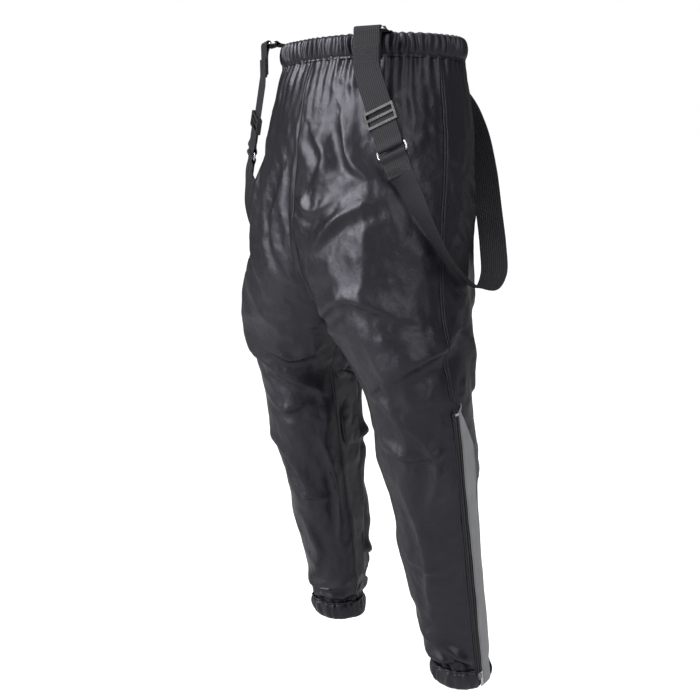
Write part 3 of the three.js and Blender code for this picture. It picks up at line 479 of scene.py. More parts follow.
def smooth_grid(side):
    """One half of the hung cloth with its smallest lumps smoothed away, and made finer."""
    flat_worn = shell_points(worn)[shell_index[side]]
    move = shell_points_hung[shell_index[side]] - flat_worn
    for _ in range(SOFTENING):
        move[1:-1] = (move[:-2] + 2 * move[1:-1] + move[2:]) / 4
        move[:, 1:-1] = (move[:, :-2] + 2 * move[:, 1:-1] + move[:, 2:]) / 4
    grid = flat_worn + move
    grid = refined(grid, ROW_SPLIT)
    return refined(grid.transpose(1, 0, 2), COLUMN_SPLIT).transpose(1, 0, 2)


def gathered(grid, sign, seed):
    """Adds the ruffles of the elastic at both ends of one half."""
    normals = grid_normals(grid) * sign
    steps = np.linalg.norm(np.diff(grid, axis=1), axis=2)
    share = np.concatenate([np.zeros((len(grid), 1)), np.cumsum(steps, axis=1)], axis=1)
    share /= share[:, -1:]
    z = grid[:, :, 2]
    waist_drop = np.maximum(SHELL_TOP - z, 0)
    cuff_rise = np.maximum(z - SHELL_BOTTOM, 0)
    fade_waist = np.exp(-waist_drop / GATHER_FADE) * 1.15 + 0.35 * np.exp(-waist_drop / (2.6 * GATHER_FADE))
    fade_cuff = np.exp(-cuff_rise / (0.8 * GATHER_FADE))
    push = GATHER_DEPTH * fade_waist * gather_wave(share / 2, waist_drop, GATHERS_WAIST, seed)
    push += GATHER_DEPTH * fade_cuff * gather_wave(share, cuff_rise, GATHERS_CUFF, seed + 3)
    ends = np.minimum(share, 1 - share) / 0.02
    return grid + normals * (push * np.clip(ends, 0, 1))[:, :, None]


# The larger folds that the cloth keeps from how it is worn: [share round the half from the front
# seam to the back seam, height] from end to end, then the half width and the rise of the fold.
FOLDS = {
    "left": [
        ([(0.10, -0.300), (0.18, -0.255), (0.30, -0.222)], 0.013, 0.0075),
        ([(0.02, -0.225), (0.09, -0.245), (0.17, -0.225)], 0.010, 0.0050),
        ([(0.06, -0.130), (0.12, -0.165), (0.10, -0.205)], 0.012, 0.0060),
        ([(0.16, -0.110), (0.20, -0.170), (0.27, -0.200)], 0.011, 0.0050),
        ([(0.30, -0.480), (0.40, -0.445), (0.52, -0.420)], 0.018, 0.0090),
        ([(0.10, -0.400), (0.22, -0.362), (0.36, -0.385)], 0.014, 0.0080),
        ([(0.24, -0.500), (0.31, -0.535), (0.33, -0.580)], 0.010, 0.0055),
        ([(0.20, -0.560), (0.30, -0.590), (0.42, -0.585)], 0.010, 0.0045),
        ([(0.34, -0.540), (0.40, -0.600), (0.36, -0.680)], 0.012, 0.0055),
        ([(0.28, -0.640), (0.33, -0.740), (0.31, -0.860)], 0.013, 0.0050),
        ([(0.18, -0.700), (0.25, -0.760), (0.38, -0.780)], 0.009, 0.0035),
        ([(0.20, -0.880), (0.33, -0.912), (0.47, -0.945)], 0.011, 0.0075),
        ([(0.16, -0.925), (0.28, -0.938), (0.40, -0.930)], 0.008, 0.0050),
        ([(0.60, -0.420), (0.66, -0.480), (0.64, -0.560)], 0.014, 0.0065),
        ([(0.70, -0.380), (0.82, -0.350), (0.93, -0.390)], 0.014, 0.0070),
        ([(0.62, -0.640), (0.74, -0.620), (0.88, -0.650)], 0.012, 0.0065),
        ([(0.66, -0.850), (0.78, -0.880), (0.90, -0.860)], 0.012, 0.0060),
        ([(0.75, -0.200), (0.80, -0.270), (0.74, -0.330)], 0.014, 0.0055),
    ],
    "right": [
        ([(0.27, -0.335), (0.34, -0.435), (0.25, -0.490), (0.07, -0.545)], 0.015, 0.0090),
        ([(0.22, -0.470), (0.15, -0.485), (0.08, -0.470)], 0.010, 0.0060),
        ([(0.28, -0.555), (0.20, -0.575), (0.12, -0.560)], 0.011, 0.0060),
        ([(0.14, -0.200), (0.20, -0.290), (0.14, -0.380)], 0.014, 0.0065),
        ([(0.05, -0.190), (0.08, -0.280), (0.02, -0.350)], 0.011, 0.0060),
        ([(0.30, -0.150), (0.26, -0.230), (0.32, -0.300)], 0.013, 0.0050),
        ([(0.33, -0.620), (0.24, -0.660), (0.18, -0.730)], 0.011, 0.0065),
        ([(0.30, -0.690), (0.22, -0.730), (0.12, -0.740)], 0.010, 0.0050),
        ([(0.10, -0.620), (0.06, -0.720), (0.10, -0.820)], 0.012, 0.0045),
        ([(0.24, -0.780), (0.20, -0.840), (0.26, -0.890)], 0.012, 0.0045),
        ([(0.36, -0.905), (0.22, -0.918), (0.05, -0.905)], 0.010, 0.0085),
        ([(0.30, -0.942), (0.18, -0.936), (0.04, -0.942)], 0.008, 0.0050),
        ([(0.90, -0.450), (0.96, -0.520), (0.92, -0.620)], 0.013, 0.0060),
        ([(0.60, -0.440), (0.70, -0.400), (0.84, -0.420)], 0.014, 0.0070),
        ([(0.62, -0.650), (0.74, -0.630), (0.90, -0.660)], 0.012, 0.0065),
        ([(0.64, -0.880), (0.78, -0.860), (0.92, -0.885)], 0.012, 0.0060),
        ([(0.72, -0.180), (0.78, -0.250), (0.70, -0.320)], 0.014, 0.0055),
    ],
}
HALF_TURN = 0.44
FOLD_SHARE = 1.25
CRUMPLE = 0.0037
CRUMPLE_SIZE = 0.074
FINE_CRUMPLE = 0.0009
FINE_CRUMPLE_SIZE = 0.022


def folded(grid, sign, folds):
    """Raises the worn-in folds, each steep on its lower side and soft on its upper side."""
    share = np.linspace(0, 1, grid.shape[1])[None, :] * np.ones((len(grid), 1))
    here = np.stack([share * HALF_TURN, grid[:, :, 2]], axis=-1)
    rise = np.zeros(grid.shape[:2])
    for points, width, height in folds:
        line = refined(np.array(points) * (HALF_TURN, 1), 5)
        way = np.sign(line[-1, 0] - line[0, 0]) or 1
        nearest = np.full(grid.shape[:2], 1e9)
        offset = np.zeros(grid.shape[:2])
        along = np.zeros(grid.shape[:2])
        for k in range(len(line) - 1):
            step = line[k + 1] - line[k]
            t = np.clip(((here - line[k]) @ step) / (step @ step), 0, 1)
            gap = here - line[k] - t[:, :, None] * step
            far = np.linalg.norm(gap, axis=2)
            closer = far < nearest
            nearest = np.where(closer, far, nearest)
            side_of = np.sign(gap[:, :, 1] * step[0] - gap[:, :, 0] * step[1]) * way
            offset = np.where(closer, far * side_of, offset)
            along = np.where(closer, (k + t) / (len(line) - 1), along)
        taper = np.clip(np.sin(np.pi * np.clip(along, 0.03, 0.97)), 0, 1) ** 0.6
        lean = offset / width
        ridge = np.exp(-(np.where(lean < 0, 2.4, 0.85) * lean) ** 2)
        hollow = 0.45 * np.exp(-((lean + 1.25) / 0.7) ** 2)
        rise += FOLD_SHARE * height * taper * (ridge - hollow)
    return grid + grid_normals(grid) * sign * rise[:, :, None]


def crumpled(grid, sign, seed):
    """Small sharp creases all over, stretched along the fall of the cloth."""
    flat = grid.reshape(-1, 3)
    shift = Vector((seed, 2 * seed, 3 * seed))
    rise = []
    for x, y, z in flat:
        wide_place = Vector((x, y, 0.55 * z + 0.3 * x)) / CRUMPLE_SIZE + shift
        fine_place = Vector((x, y, 0.7 * z)) / FINE_CRUMPLE_SIZE + shift
        ridge = noise.ridged_multi_fractal(wide_place, 1.1, 2.1, 3, 0.95, 1.6) - 1.1
        rise.append(CRUMPLE * ridge + FINE_CRUMPLE * noise.turbulence(fine_place, 2, True))
    rise = np.array(rise).reshape(grid.shape[:2])
    calm_waist = np.clip((SHELL_TOP - grid[:, :, 2]) / 0.05, 0, 1)
    calm_cuff = np.clip((grid[:, :, 2] - SHELL_BOTTOM) / 0.03, 0, 1)
    return grid + grid_normals(grid) * sign * (rise * (calm_waist * calm_cuff))[:, :, None]


def calmed_zip(made, plain):
    """Keeps the cloth beside the zip flat, where the tape stiffens it."""
    columns = np.arange(made.shape[1]) / COLUMN_SPLIT
    beyond = np.maximum(ZIP_START - columns, columns - STRIP_END - 0.5)
    reach = np.clip(np.maximum(beyond, 0) / 2.0, 0, 1)[None, :]
    zipped = np.clip((ZIP_TOP + 0.03 - made[:, :, 2]) / 0.03, 0, 1)
    keep = 1 - zipped * (1 - reach)
    return plain + (made - plain) * keep[:, :, None]


def matched_seams(grids):
    """Brings the halves back together along the centre seams and the inseams."""
    crotch = CROTCH_ROW * ROW_SPLIT
    for edge in (0, -1):
        middle = (grids["left"][: crotch + 1, edge] + grids["right"][: crotch + 1, edge]) / 2
        grids["left"][: crotch + 1, edge] = middle
        grids["right"][: crotch + 1, edge] = middle
    for grid in grids.values():
        inseam = (grid[crotch:, 0] + grid[crotch:, -1]) / 2
        grid[crotch:, 0] = inseam
        grid[crotch:, -1] = inseam


shell_grids = {}
for side, sign in SIDES.items():
    plain_grid = smooth_grid(side)
    seed = 1.0 + 2.1 * (sign < 0)
    worn_grid = folded(plain_grid, sign, FOLDS[side])
    worn_grid = crumpled(worn_grid, sign, seed)
    shell_grids[side] = calmed_zip(gathered(worn_grid, sign, seed), plain_grid)
matched_seams(shell_grids)


def smoothly_shaded(made):
    """Shades a piece smooth, all but its many-sided end faces."""
    for polygon in made.data.polygons:
        polygon.use_smooth = len(polygon.vertices) <= 4
    return made


def grid_object(name, grid, sign=1, closed=False):
    """A mesh of quads over a grid of points, facing outwards for a left piece as it runs."""
    rows, columns = grid.shape[:2]
    number = np.arange(rows * columns).reshape(rows, columns)
    right = np.roll(number, -1, axis=1) if closed else number[:, 1:]
    left = number if closed else number[:, :-1]
    quads = np.stack([left[:-1], left[1:], right[1:], right[:-1]], axis=-1).reshape(-1, 4)
    if sign < 0:
        quads = quads[:, ::-1]
    made = mesh_object(name, grid.reshape(-1, 3), [[int(i) for i in q] for q in quads])
    return smoothly_shaded(made)


def lined(made, thickness):
    """Gives a sheet its thickness inwards, with closed edges, and applies it."""
    solid = made.modifiers.new("thickness", "SOLIDIFY")
    solid.thickness = thickness
    solid.offset = -1.0
    solid.use_even_offset = False
    return applied(made)


def applied(made):
    """Keeps the mesh that a piece's modifiers make, and drops the modifiers."""
    evaluated = made.evaluated_get(bpy.context.evaluated_depsgraph_get())
    mesh = bpy.data.meshes.new_from_object(evaluated)
    made.modifiers.clear()
    made.data = mesh
    return made


# Shader groups: creases for the coated nylon, and a weave for the webbing.
def shader_group(name, inputs, outputs):
    group = bpy.data.node_groups.new(name, "ShaderNodeTree")
    for label, kind, value in inputs:
        made = group.interface.new_socket(label, in_out="INPUT", socket_type=kind)
        made.default_value = value
    for label, kind in outputs:
        group.interface.new_socket(label, in_out="OUTPUT", socket_type=kind)
    return group, group.nodes.new("NodeGroupInput"), group.nodes.new("NodeGroupOutput")


def math_node(tree, operation, *values):
    node = tree.nodes.new("ShaderNodeMath")
    node.operation = operation
    for i, value in enumerate(values):
        if isinstance(value, (int, float)):
            node.inputs[i].default_value = value
        else:
            tree.links.new(value, node.inputs[i])
    return node.outputs[0]


def creases_group():
    """Height of the fine creases of coated nylon, and how worn its coating is."""
    group, given, result = shader_group(
        "nylon_creases",
        [("Vector", "NodeSocketVector", (0, 0, 0)), ("Crease Size", "NodeSocketFloat", 26.0)],
        [("Height", "NodeSocketFloat"), ("Worn", "NodeSocketFloat")],
    )
    ridges = group.nodes.new("ShaderNodeTexNoise")
    ridges.noise_type = "RIDGED_MULTIFRACTAL"
    ridges.inputs["Detail"].default_value = 3.0
    ridges.inputs["Roughness"].default_value = 0.55
    group.links.new(given.outputs["Vector"], ridges.inputs["Vector"])
    group.links.new(given.outputs["Crease Size"], ridges.inputs["Scale"])
    fine = group.nodes.new("ShaderNodeTexNoise")
    fine.inputs["Scale"].default_value = 210
    fine.inputs["Detail"].default_value = 4
    group.links.new(given.outputs["Vector"], fine.inputs["Vector"])
    threads = group.nodes.new("ShaderNodeTexVoronoi")
    threads.inputs["Scale"].default_value = 1500
    group.links.new(given.outputs["Vector"], threads.inputs["Vector"])
    small = math_node(group, "MULTIPLY", fine.outputs["Fac"], 0.16)
    grain = math_node(group, "MULTIPLY", threads.outputs["Distance"], 0.035)
    height = math_node(group, "ADD", math_node(group, "ADD", ridges.outputs["Fac"], small), grain)
    group.links.new(height, result.inputs["Height"])
    wide = group.nodes.new("ShaderNodeTexNoise")
    wide.inputs["Scale"].default_value = 9
    wide.inputs["Detail"].default_value = 5
    group.links.new(given.outputs["Vector"], wide.inputs["Vector"])
    group.links.new(wide.outputs["Fac"], result.inputs["Worn"])
    return group


def weave_group():
    """Height of a twill weave over a piece's own length and width, in metres, and its painted shade."""
    group, given, result = shader_group(
        "twill_weave",
        [
            ("Across", "NodeSocketFloat", 0.0),
            ("Along", "NodeSocketFloat", 0.0),
            ("Rib", "NodeSocketFloat", 0.0016),
            ("Pick", "NodeSocketFloat", 0.0012),
        ],
        [("Height", "NodeSocketFloat"), ("Shade", "NodeSocketFloat")],
    )
    two_pi = 2 * math.pi
    across = math_node(group, "DIVIDE", given.outputs["Across"], given.outputs["Rib"])
    along = math_node(group, "DIVIDE", given.outputs["Along"], given.outputs["Pick"])
    ribs = math_node(group, "SINE", math_node(group, "MULTIPLY", across, two_pi))
    lean = math_node(group, "MULTIPLY", ribs, 0.9)
    turned = math_node(group, "ADD", math_node(group, "MULTIPLY", along, two_pi), lean)
    picks = math_node(group, "SINE", turned)
    rib_height = math_node(group, "MULTIPLY", ribs, 0.30)
    pick_height = math_node(group, "MULTIPLY", picks, 0.20)
    height = math_node(group, "ADD", math_node(group, "ADD", rib_height, pick_height), 0.5)
    group.links.new(height, result.inputs["Height"])
    # The height also serves as painted shade: the low parts of the weave come out darker.
    group.links.new(height, result.inputs["Shade"])
    return group


NYLON_CREASES = creases_group()
TWILL_WEAVE = weave_group()


def fresh_material(name, roughness, metallic=0.0):
    material = plain_material(name, (0.5, 0.5, 0.5), roughness, metallic)
    tree = material.node_tree
    return material, tree, tree.nodes["Principled BSDF"]


def color_between(tree, shader, factor, low, high, socket="Base Color"):
    ramp = tree.nodes.new("ShaderNodeValToRGB")
    ramp.color_ramp.elements[0].color = (*low, 1)
    ramp.color_ramp.elements[1].color = (*high, 1)
    tree.links.new(factor, ramp.inputs["Fac"])
    tree.links.new(ramp.outputs["Color"], shader.inputs[socket])
    return ramp


def bumped(tree, shader, height, strength, distance):
    bump = tree.nodes.new("ShaderNodeBump")
    bump.inputs["Strength"].default_value = strength
    bump.inputs["Distance"].default_value = distance
    tree.links.new(height, bump.inputs["Height"])
    tree.links.new(bump.outputs["Normal"], shader.inputs["Normal"])


def value_between(tree, factor, low, high):
    spread = tree.nodes.new("ShaderNodeMapRange")
    spread.inputs["From Min"].default_value = 0.3
    spread.inputs["From Max"].default_value = 0.7
    spread.inputs["To Min"].default_value = low
    spread.inputs["To Max"].default_value = high
    tree.links.new(factor, spread.inputs["Value"])
    return spread.outputs["Result"]


NYLON_DARK = (0.0040, 0.0038, 0.0052)
NYLON_PALE = (0.0095, 0.0090, 0.0125)


def coated_nylon(name, crease_size, crease_depth):
    """Black nylon with a glossy coating that wears a little paler on its creases."""
    material, tree, shader = fresh_material(name, 0.4)
    place = tree.nodes.new("ShaderNodeTexCoord")
    creases = tree.nodes.new("ShaderNodeGroup")
    creases.node_tree = NYLON_CREASES
    creases.inputs["Crease Size"].default_value = crease_size
    tree.links.new(place.outputs["Object"], creases.inputs["Vector"])
    color_between(tree, shader, creases.outputs["Worn"], NYLON_DARK, NYLON_PALE)
    tree.links.new(value_between(tree, creases.outputs["Worn"], 0.34, 0.48), shader.inputs["Roughness"])
    shader.inputs["Specular IOR Level"].default_value = 0.5
    shader.inputs["Specular Tint"].default_value = (0.90, 0.87, 1.0, 1)
    bumped(tree, shader, creases.outputs["Height"], 0.7, crease_depth)
    return material


shell_nylon = coated_nylon("shell_nylon", 38, 0.0042)
gathered_nylon = coated_nylon("gathered_nylon", 60, 0.0007)


def finished(made, material, body, slot_name, *nodes):
    """Gives a piece its finish, the body that it rides on and the nodes that it stands for."""
    made.data.materials.clear()
    made.data.materials.append(material)
    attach(made, body)
    if nodes:
        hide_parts(*nodes)
    return made


zip_row = ZIP_ROW * ROW_SPLIT
zip_start = ZIP_START * COLUMN_SPLIT
strip_start = STRIP_START * COLUMN_SPLIT
strip_end = STRIP_END * COLUMN_SPLIT


def panel_sheet(made, node):
    """Makes a panel's surface into its sheet of nylon."""
    lined(made, FABRIC)
    finished(made, shell_nylon, "garment", "shell_fabric", node)


for side in SIDES:
    grid = shell_grids[side]
    front = grid_object(f"front_panel_{side}_cloth", grid[:, : zip_start + 1], SIDES[side])
    panel_sheet(front, f"front_panel_{side}")
    back = grid[:, strip_start:]
    above_zip = grid[: zip_row + 1, zip_start : strip_start + 1]
    back_object = grid_object(f"back_{side}", back, SIDES[side])
    strap_over = grid_object(f"side_{side}", above_zip, SIDES[side])
    whole = bmesh.new()
    whole.from_mesh(back_object.data)
    whole.from_mesh(strap_over.data)
    bmesh.ops.remove_doubles(whole, verts=whole.verts, dist=1e-5)
    made = mesh_object(f"back_panel_{side}_cloth", [], [])
    whole.to_mesh(made.data)
    whole.free()
    for spare in (back_object, strap_over):
        bpy.data.objects.remove(spare)
    panel_sheet(smoothly_shaded(made), f"back_panel_{side}")


# ---------------------------------------------------------------- waistband
# A casing of the same nylon, folded over a wide elastic and sewn down along its lower edge. The
# elastic draws it into close upright ruffles.
BAND_RUFFLES = 74
RUFFLE_DEPTH = 0.0021
BAND_STEPS = 1100
CASING_OFFSET = 0.0021
CASING_INSIDE = -0.0038
band_low, band_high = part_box("waistband_casing")


def closed_line(points, count):
    """Evenly spaced points round a closed line."""
    loop = np.vstack([points, points[:1]])
    at = lengths_along(loop)
    share = np.arange(count) / count
    return np.stack([np.interp(share * at[-1], at, loop[:, axis]) for axis in range(loop.shape[1])], axis=1)


def outward(line):
    """Level directions away from a closed level line that runs the left half from front to back."""
    tangent = np.roll(line, -1, axis=0) - np.roll(line, 1, axis=0)
    normal = np.stack([tangent[:, 1], -tangent[:, 0]], axis=1)
    return normal / np.linalg.norm(normal, axis=1, keepdims=True)


half_line = refined(worn[0], 4)[:, :2]
waist_line = closed_line(np.vstack([half_line[:-1], (half_line[::-1] * (-1, 1))[:-1]]), BAND_STEPS)
waist_out = outward(waist_line)
BAND_PROFILE = [
    (CASING_OFFSET - 0.0006, -1.00), (CASING_OFFSET, -0.975), (CASING_OFFSET - 0.0009, -0.90),
    (CASING_OFFSET + 0.0008, -0.82), (CASING_OFFSET + 0.0022, -0.66), (CASING_OFFSET + 0.0028, -0.48),
    (CASING_OFFSET + 0.0024, -0.30), (CASING_OFFSET + 0.0014, -0.14), (CASING_OFFSET + 0.0001, -0.05),
    (CASING_OFFSET - 0.0018, 0.01), (-0.0016, 0.02), (CASING_INSIDE + 0.0006, -0.02),
    (CASING_INSIDE - 0.0004, -0.20), (CASING_INSIDE, -0.60), (CASING_INSIDE, -0.97),
]


def ruffle(share, height, count, seed):
    """Uneven upright ruffles round a band, between about -1 and 1."""
    wander = 1.1 * np.sin(2 * np.pi * 7 * share + seed)
    wander = wander + 0.5 * np.sin(2 * np.pi * 17 * share + 3.0 * height)
    wave = np.sin(2 * np.pi * count * share + wander)
    uneven = 0.75 + 0.35 * np.sin(2 * np.pi * 11 * share + 2 * seed)
    return uneven * np.sign(wave) * np.abs(wave) ** 0.8


def ruffled_band(line, out, share, profile, height, top, depth, count, lean, seed):
    """Rows of points from the outside lower edge over the fold to the inside lower edge."""
    rows = []
    fine = refined(np.array(profile), 3)
    for offset, rise in fine:
        crown = np.clip(np.sin(np.pi * np.clip(-rise, 0.0, 0.9) / 0.9), 0, 1) ** 0.6
        push = depth * (0.30 + 0.70 * crown) * ruffle(share, rise * 2, count, seed)
        if offset < 0:
            push = push * 0.4
        scallop = 0.0007 * ruffle(share, 0.0, count, seed) * np.clip(1 + 4 * rise, 0, 1)
        flat = line + out * (offset + push)[:, None]
        z = top + rise * height + scallop
        flat = flat + np.outer(z - top, lean)
        rows.append(np.column_stack([flat, z]))
    return np.array(rows)


band_share = np.arange(BAND_STEPS) / BAND_STEPS
BAND_HEIGHT = band_high.z - band_low.z
UPRIGHT = (0, 0)
BAND_SEED = 0.6
band_rows = ruffled_band(
    waist_line, waist_out, band_share, BAND_PROFILE, BAND_HEIGHT, band_high.z,
    RUFFLE_DEPTH, BAND_RUFFLES, UPRIGHT, BAND_SEED,
)
waistband = lined(grid_object("waistband_casing_sewn", band_rows[::-1], 1, closed=True), FABRIC)
finished(waistband, gathered_nylon, "garment", "shell_fabric", "waistband_casing")

# ---------------------------------------------------------------- cuffs
# Each cuff is a folded casing over a narrower elastic. It runs from the front edge of the zip
# round the ankle to the back edge of the reflective strip, and is closed by the zip.
CUFF_RUFFLES = 22
CUFF_STEPS = 360
CUFF_RUFFLE_DEPTH = 0.0019
CUFF_SEED = 1.4
zip_axis = Vector(next(j for j in frame["joints"] if j["name"] == "zip_slide_left")["axis"]).normalized()
leg_lean = np.array([zip_axis.x, zip_axis.y]) / zip_axis.z
cuff_low, cuff_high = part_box("cuff_casing_left")
CUFF_HEIGHT = cuff_high.z - cuff_low.z


def open_line(points, count):
    """Evenly spaced points along an open line, with the share of the way along it."""
    at = lengths_along(points)
    share = np.linspace(0, 1, count)
    return share, np.stack([np.interp(share * at[-1], at, points[:, axis]) for axis in range(2)], axis=1)


last = worn[-1]
cuff_run = np.vstack([last[ZIP_START::-1], last[COLUMNS - 1 : STRIP_END - 1 : -1]])[:, :2]
cuff_run = cuff_run + leg_lean * (cuff_high.z - SHELL_BOTTOM)
cuff_share, cuff_line = open_line(refined(cuff_run, 4), CUFF_STEPS)
cuff_tangent = np.gradient(cuff_line, axis=0)
cuff_out = np.stack([-cuff_tangent[:, 1], cuff_tangent[:, 0]], axis=1)
cuff_out /= np.linalg.norm(cuff_out, axis=1, keepdims=True)
cuff_out *= np.sign((cuff_out * (cuff_line - cuff_line.mean(axis=0))).sum())
CUFF_PROFILE = [(offset, -1 - rise) for offset, rise in BAND_PROFILE]
for side, sign in SIDES.items():
    rows = ruffled_band(
        cuff_line, cuff_out, cuff_share, CUFF_PROFILE, CUFF_HEIGHT, cuff_high.z,
        CUFF_RUFFLE_DEPTH, CUFF_RUFFLES, leg_lean, CUFF_SEED + sign,
    )
    cuff = lined(grid_object(f"cuff_casing_{side}_sewn", rows * (sign, 1, 1), sign), FABRIC)
    finished(cuff, gathered_nylon, "garment", "shell_fabric", f"cuff_casing_{side}")

# ---------------------------------------------------------------- seams and stitching
# Felled seams close the panels at the centre, the inseam and the side, and each carries two rows
# of lockstitch. The stitches are set out along each line by one tree.
CENTRE_SEAM_COLUMNS = 2
SEAM_RISE = 0.0009
STITCH_PITCH = 0.0036
STITCH_LENGTH = 0.0026
STITCH_WIDTH = 0.00055
THREAD_LIFT = 0.0004
SEAM_FOLD = 0.0005
SEAM_ROWS = (0.22, 0.78)


def row_tree(name, pitch, length, width, height):
    """A tree that sets small rounded things out along a line, each turned along it."""
    tree = bpy.data.node_groups.new(name, "GeometryNodeTree")
    tree.interface.new_socket("Line", in_out="INPUT", socket_type="NodeSocketGeometry")
    for label, value in (("Pitch", pitch), ("Length", length), ("Width", width), ("Height", height)):
        size = tree.interface.new_socket(label, in_out="INPUT", socket_type="NodeSocketFloat")
        size.default_value = value
    tree.interface.new_socket("Finish", in_out="INPUT", socket_type="NodeSocketMaterial")
    tree.interface.new_socket("Row", in_out="OUTPUT", socket_type="NodeSocketGeometry")
    given, result = tree.nodes.new("NodeGroupInput"), tree.nodes.new("NodeGroupOutput")
    curve = tree.nodes.new("GeometryNodeMeshToCurve")
    spaced = tree.nodes.new("GeometryNodeResampleCurve")
    spaced.mode = "LENGTH"
    tangent = tree.nodes.new("GeometryNodeInputTangent")
    turned = tree.nodes.new("FunctionNodeAlignRotationToVector")
    turned.axis = "X"
    bead = tree.nodes.new("GeometryNodeMeshIcoSphere")
    bead.inputs["Radius"].default_value = 0.5
    bead.inputs["Subdivisions"].default_value = 1
    scale = tree.nodes.new("ShaderNodeCombineXYZ")
    placed = tree.nodes.new("GeometryNodeInstanceOnPoints")
    real = tree.nodes.new("GeometryNodeRealizeInstances")
    finish = tree.nodes.new("GeometryNodeSetMaterial")
    link = tree.links.new
    link(given.outputs["Line"], curve.inputs["Mesh"])
    link(curve.outputs["Curve"], spaced.inputs["Curve"])
    link(given.outputs["Pitch"], spaced.inputs["Length"])
    link(tangent.outputs["Tangent"], turned.inputs["Vector"])
    link(spaced.outputs["Curve"], placed.inputs["Points"])
    link(bead.outputs["Mesh"], placed.inputs["Instance"])
    link(turned.outputs["Rotation"], placed.inputs["Rotation"])
    link(given.outputs["Length"], scale.inputs["X"])
    link(given.outputs["Width"], scale.inputs["Y"])
    link(given.outputs["Height"], scale.inputs["Z"])
    link(scale.outputs["Vector"], placed.inputs["Scale"])
    link(placed.outputs["Instances"], real.inputs["Geometry"])
    link(real.outputs["Geometry"], finish.inputs["Geometry"])
    link(given.outputs["Finish"], finish.inputs["Material"])
    link(finish.outputs["Geometry"], result.inputs["Row"])
    return tree


STITCHES = row_tree("lockstitch", STITCH_PITCH, STITCH_LENGTH, STITCH_WIDTH, STITCH_WIDTH)
thread, thread_tree, thread_shader = fresh_material("black_thread", 0.6)
thread_place = thread_tree.nodes.new("ShaderNodeTexCoord")
thread_twist = thread_tree.nodes.new("ShaderNodeTexNoise")
thread_twist.inputs["Scale"].default_value = 900
thread_tree.links.new(thread_place.outputs["Object"], thread_twist.inputs["Vector"])
THREAD_DARK = (0.010, 0.010, 0.012)
THREAD_PALE = (0.045, 0.045, 0.052)
color_between(thread_tree, thread_shader, thread_twist.outputs["Fac"], THREAD_DARK, THREAD_PALE)


def grown(made, tree, values):
    """Runs a tree on an object with its named inputs set, and keeps the plain mesh."""
    grow = made.modifiers.new(tree.name, "NODES")
    grow.node_group = tree
    for item in tree.interface.items_tree:
        if item.in_out == "INPUT" and item.name in values:
            grow[item.identifier] = values[item.name]
    return applied(made)


def rowed(name, lines, tree, finish, body, slot_name, **sizes):
    """Rows of small things along lines of points, as one piece."""
    points, edges = [], []
    for line in lines:
        start = len(points)
        points.extend(tuple(p) for p in line)
        edges.extend((start + i, start + i + 1) for i in range(len(line) - 1))
    mesh = bpy.data.meshes.new(name)
    mesh.from_pydata(points, edges, [])
    made = bpy.data.objects.new(name, mesh)
    bpy.context.scene.collection.objects.link(made)
    grown(made, tree, {"Finish": finish, **sizes})
    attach(made, body)
    return made


def stitched(name, lines, body, slot_name="shell_fabric", **sizes):
    """Rows of lockstitch along lines of points."""
    return rowed(name, lines, STITCHES, thread, body, slot_name, **sizes)


def seam(name, strip_rows, sign):
    """A narrow fold of cloth over a seam, with its two rows of stitches."""
    normals = grid_normals(strip_rows) * sign
    across = np.linspace(-1, 1, strip_rows.shape[1])
    crown = (SEAM_RISE * (1 - 0.55 * np.abs(across) ** 3))[None, :, None]
    raised = strip_rows + normals * crown
    made = lined(grid_object(name, raised, sign), SEAM_FOLD)
    finished(made, gathered_nylon, "garment", "shell_fabric")
    lines = []
    for share in SEAM_ROWS:
        at = share * (raised.shape[1] - 1)
        low = int(at)
        edge = raised[:, low] * (low + 1 - at) + raised[:, low + 1] * (at - low)
        lines.append(edge + normals[:, low] * THREAD_LIFT)
    return lines


crotch_row = CROTCH_ROW * ROW_SPLIT
wide = CENTRE_SEAM_COLUMNS
left_grid, right_grid = shell_grids["left"], shell_grids["right"]
seam_lines = []
front_center = np.concatenate(
    [right_grid[:crotch_row, wide:0:-1], left_grid[:crotch_row, : wide + 1]], axis=1
)
seam_lines += seam("centre_front_seam", front_center, 1)
back_center = np.concatenate(
    [left_grid[:crotch_row, -1 - wide :], right_grid[:crotch_row, -2 : -2 - wide : -1]], axis=1
)
seam_lines += seam("centre_back_seam", back_center, 1)
for side, sign in SIDES.items():
    grid = shell_grids[side]
    inseam = np.concatenate([grid[crotch_row + 1 :, -2:-1], grid[crotch_row + 1 :, :2]], axis=1)
    seam_lines += seam(f"inseam_{side}", inseam, sign)
    at = (zip_start + strip_start) // 2
    seam_lines += seam(f"side_seam_{side}", grid[: zip_row - 2, at - 2 : at + 4], sign)
    beside_zip = (slice(zip_row, None), zip_start - 2)
    seam_lines.append(grid[beside_zip] + (grid_normals(grid)[beside_zip] * sign) * THREAD_LIFT)
stitched("seam_stitches", seam_lines, "garment")
BAND_STITCH_RISE = 0.0032
stitch_push = 0.25 * RUFFLE_DEPTH * ruffle(band_share, -1.8, BAND_RUFFLES, BAND_SEED)
band_stitch = waist_line + waist_out * (CASING_OFFSET - 0.0002 + stitch_push)[:, None]
band_stitch = np.column_stack([band_stitch, np.full(BAND_STEPS, band_low.z + BAND_STITCH_RISE)])
stitched("waistband_stitches", [np.vstack([band_stitch, band_stitch[:1]])], "garment", Pitch=0.0042)

# ---------------------------------------------------------------- elastics
# Woven elastic, which lies inside the waistband and the cuffs. Its ribs run round the garment.


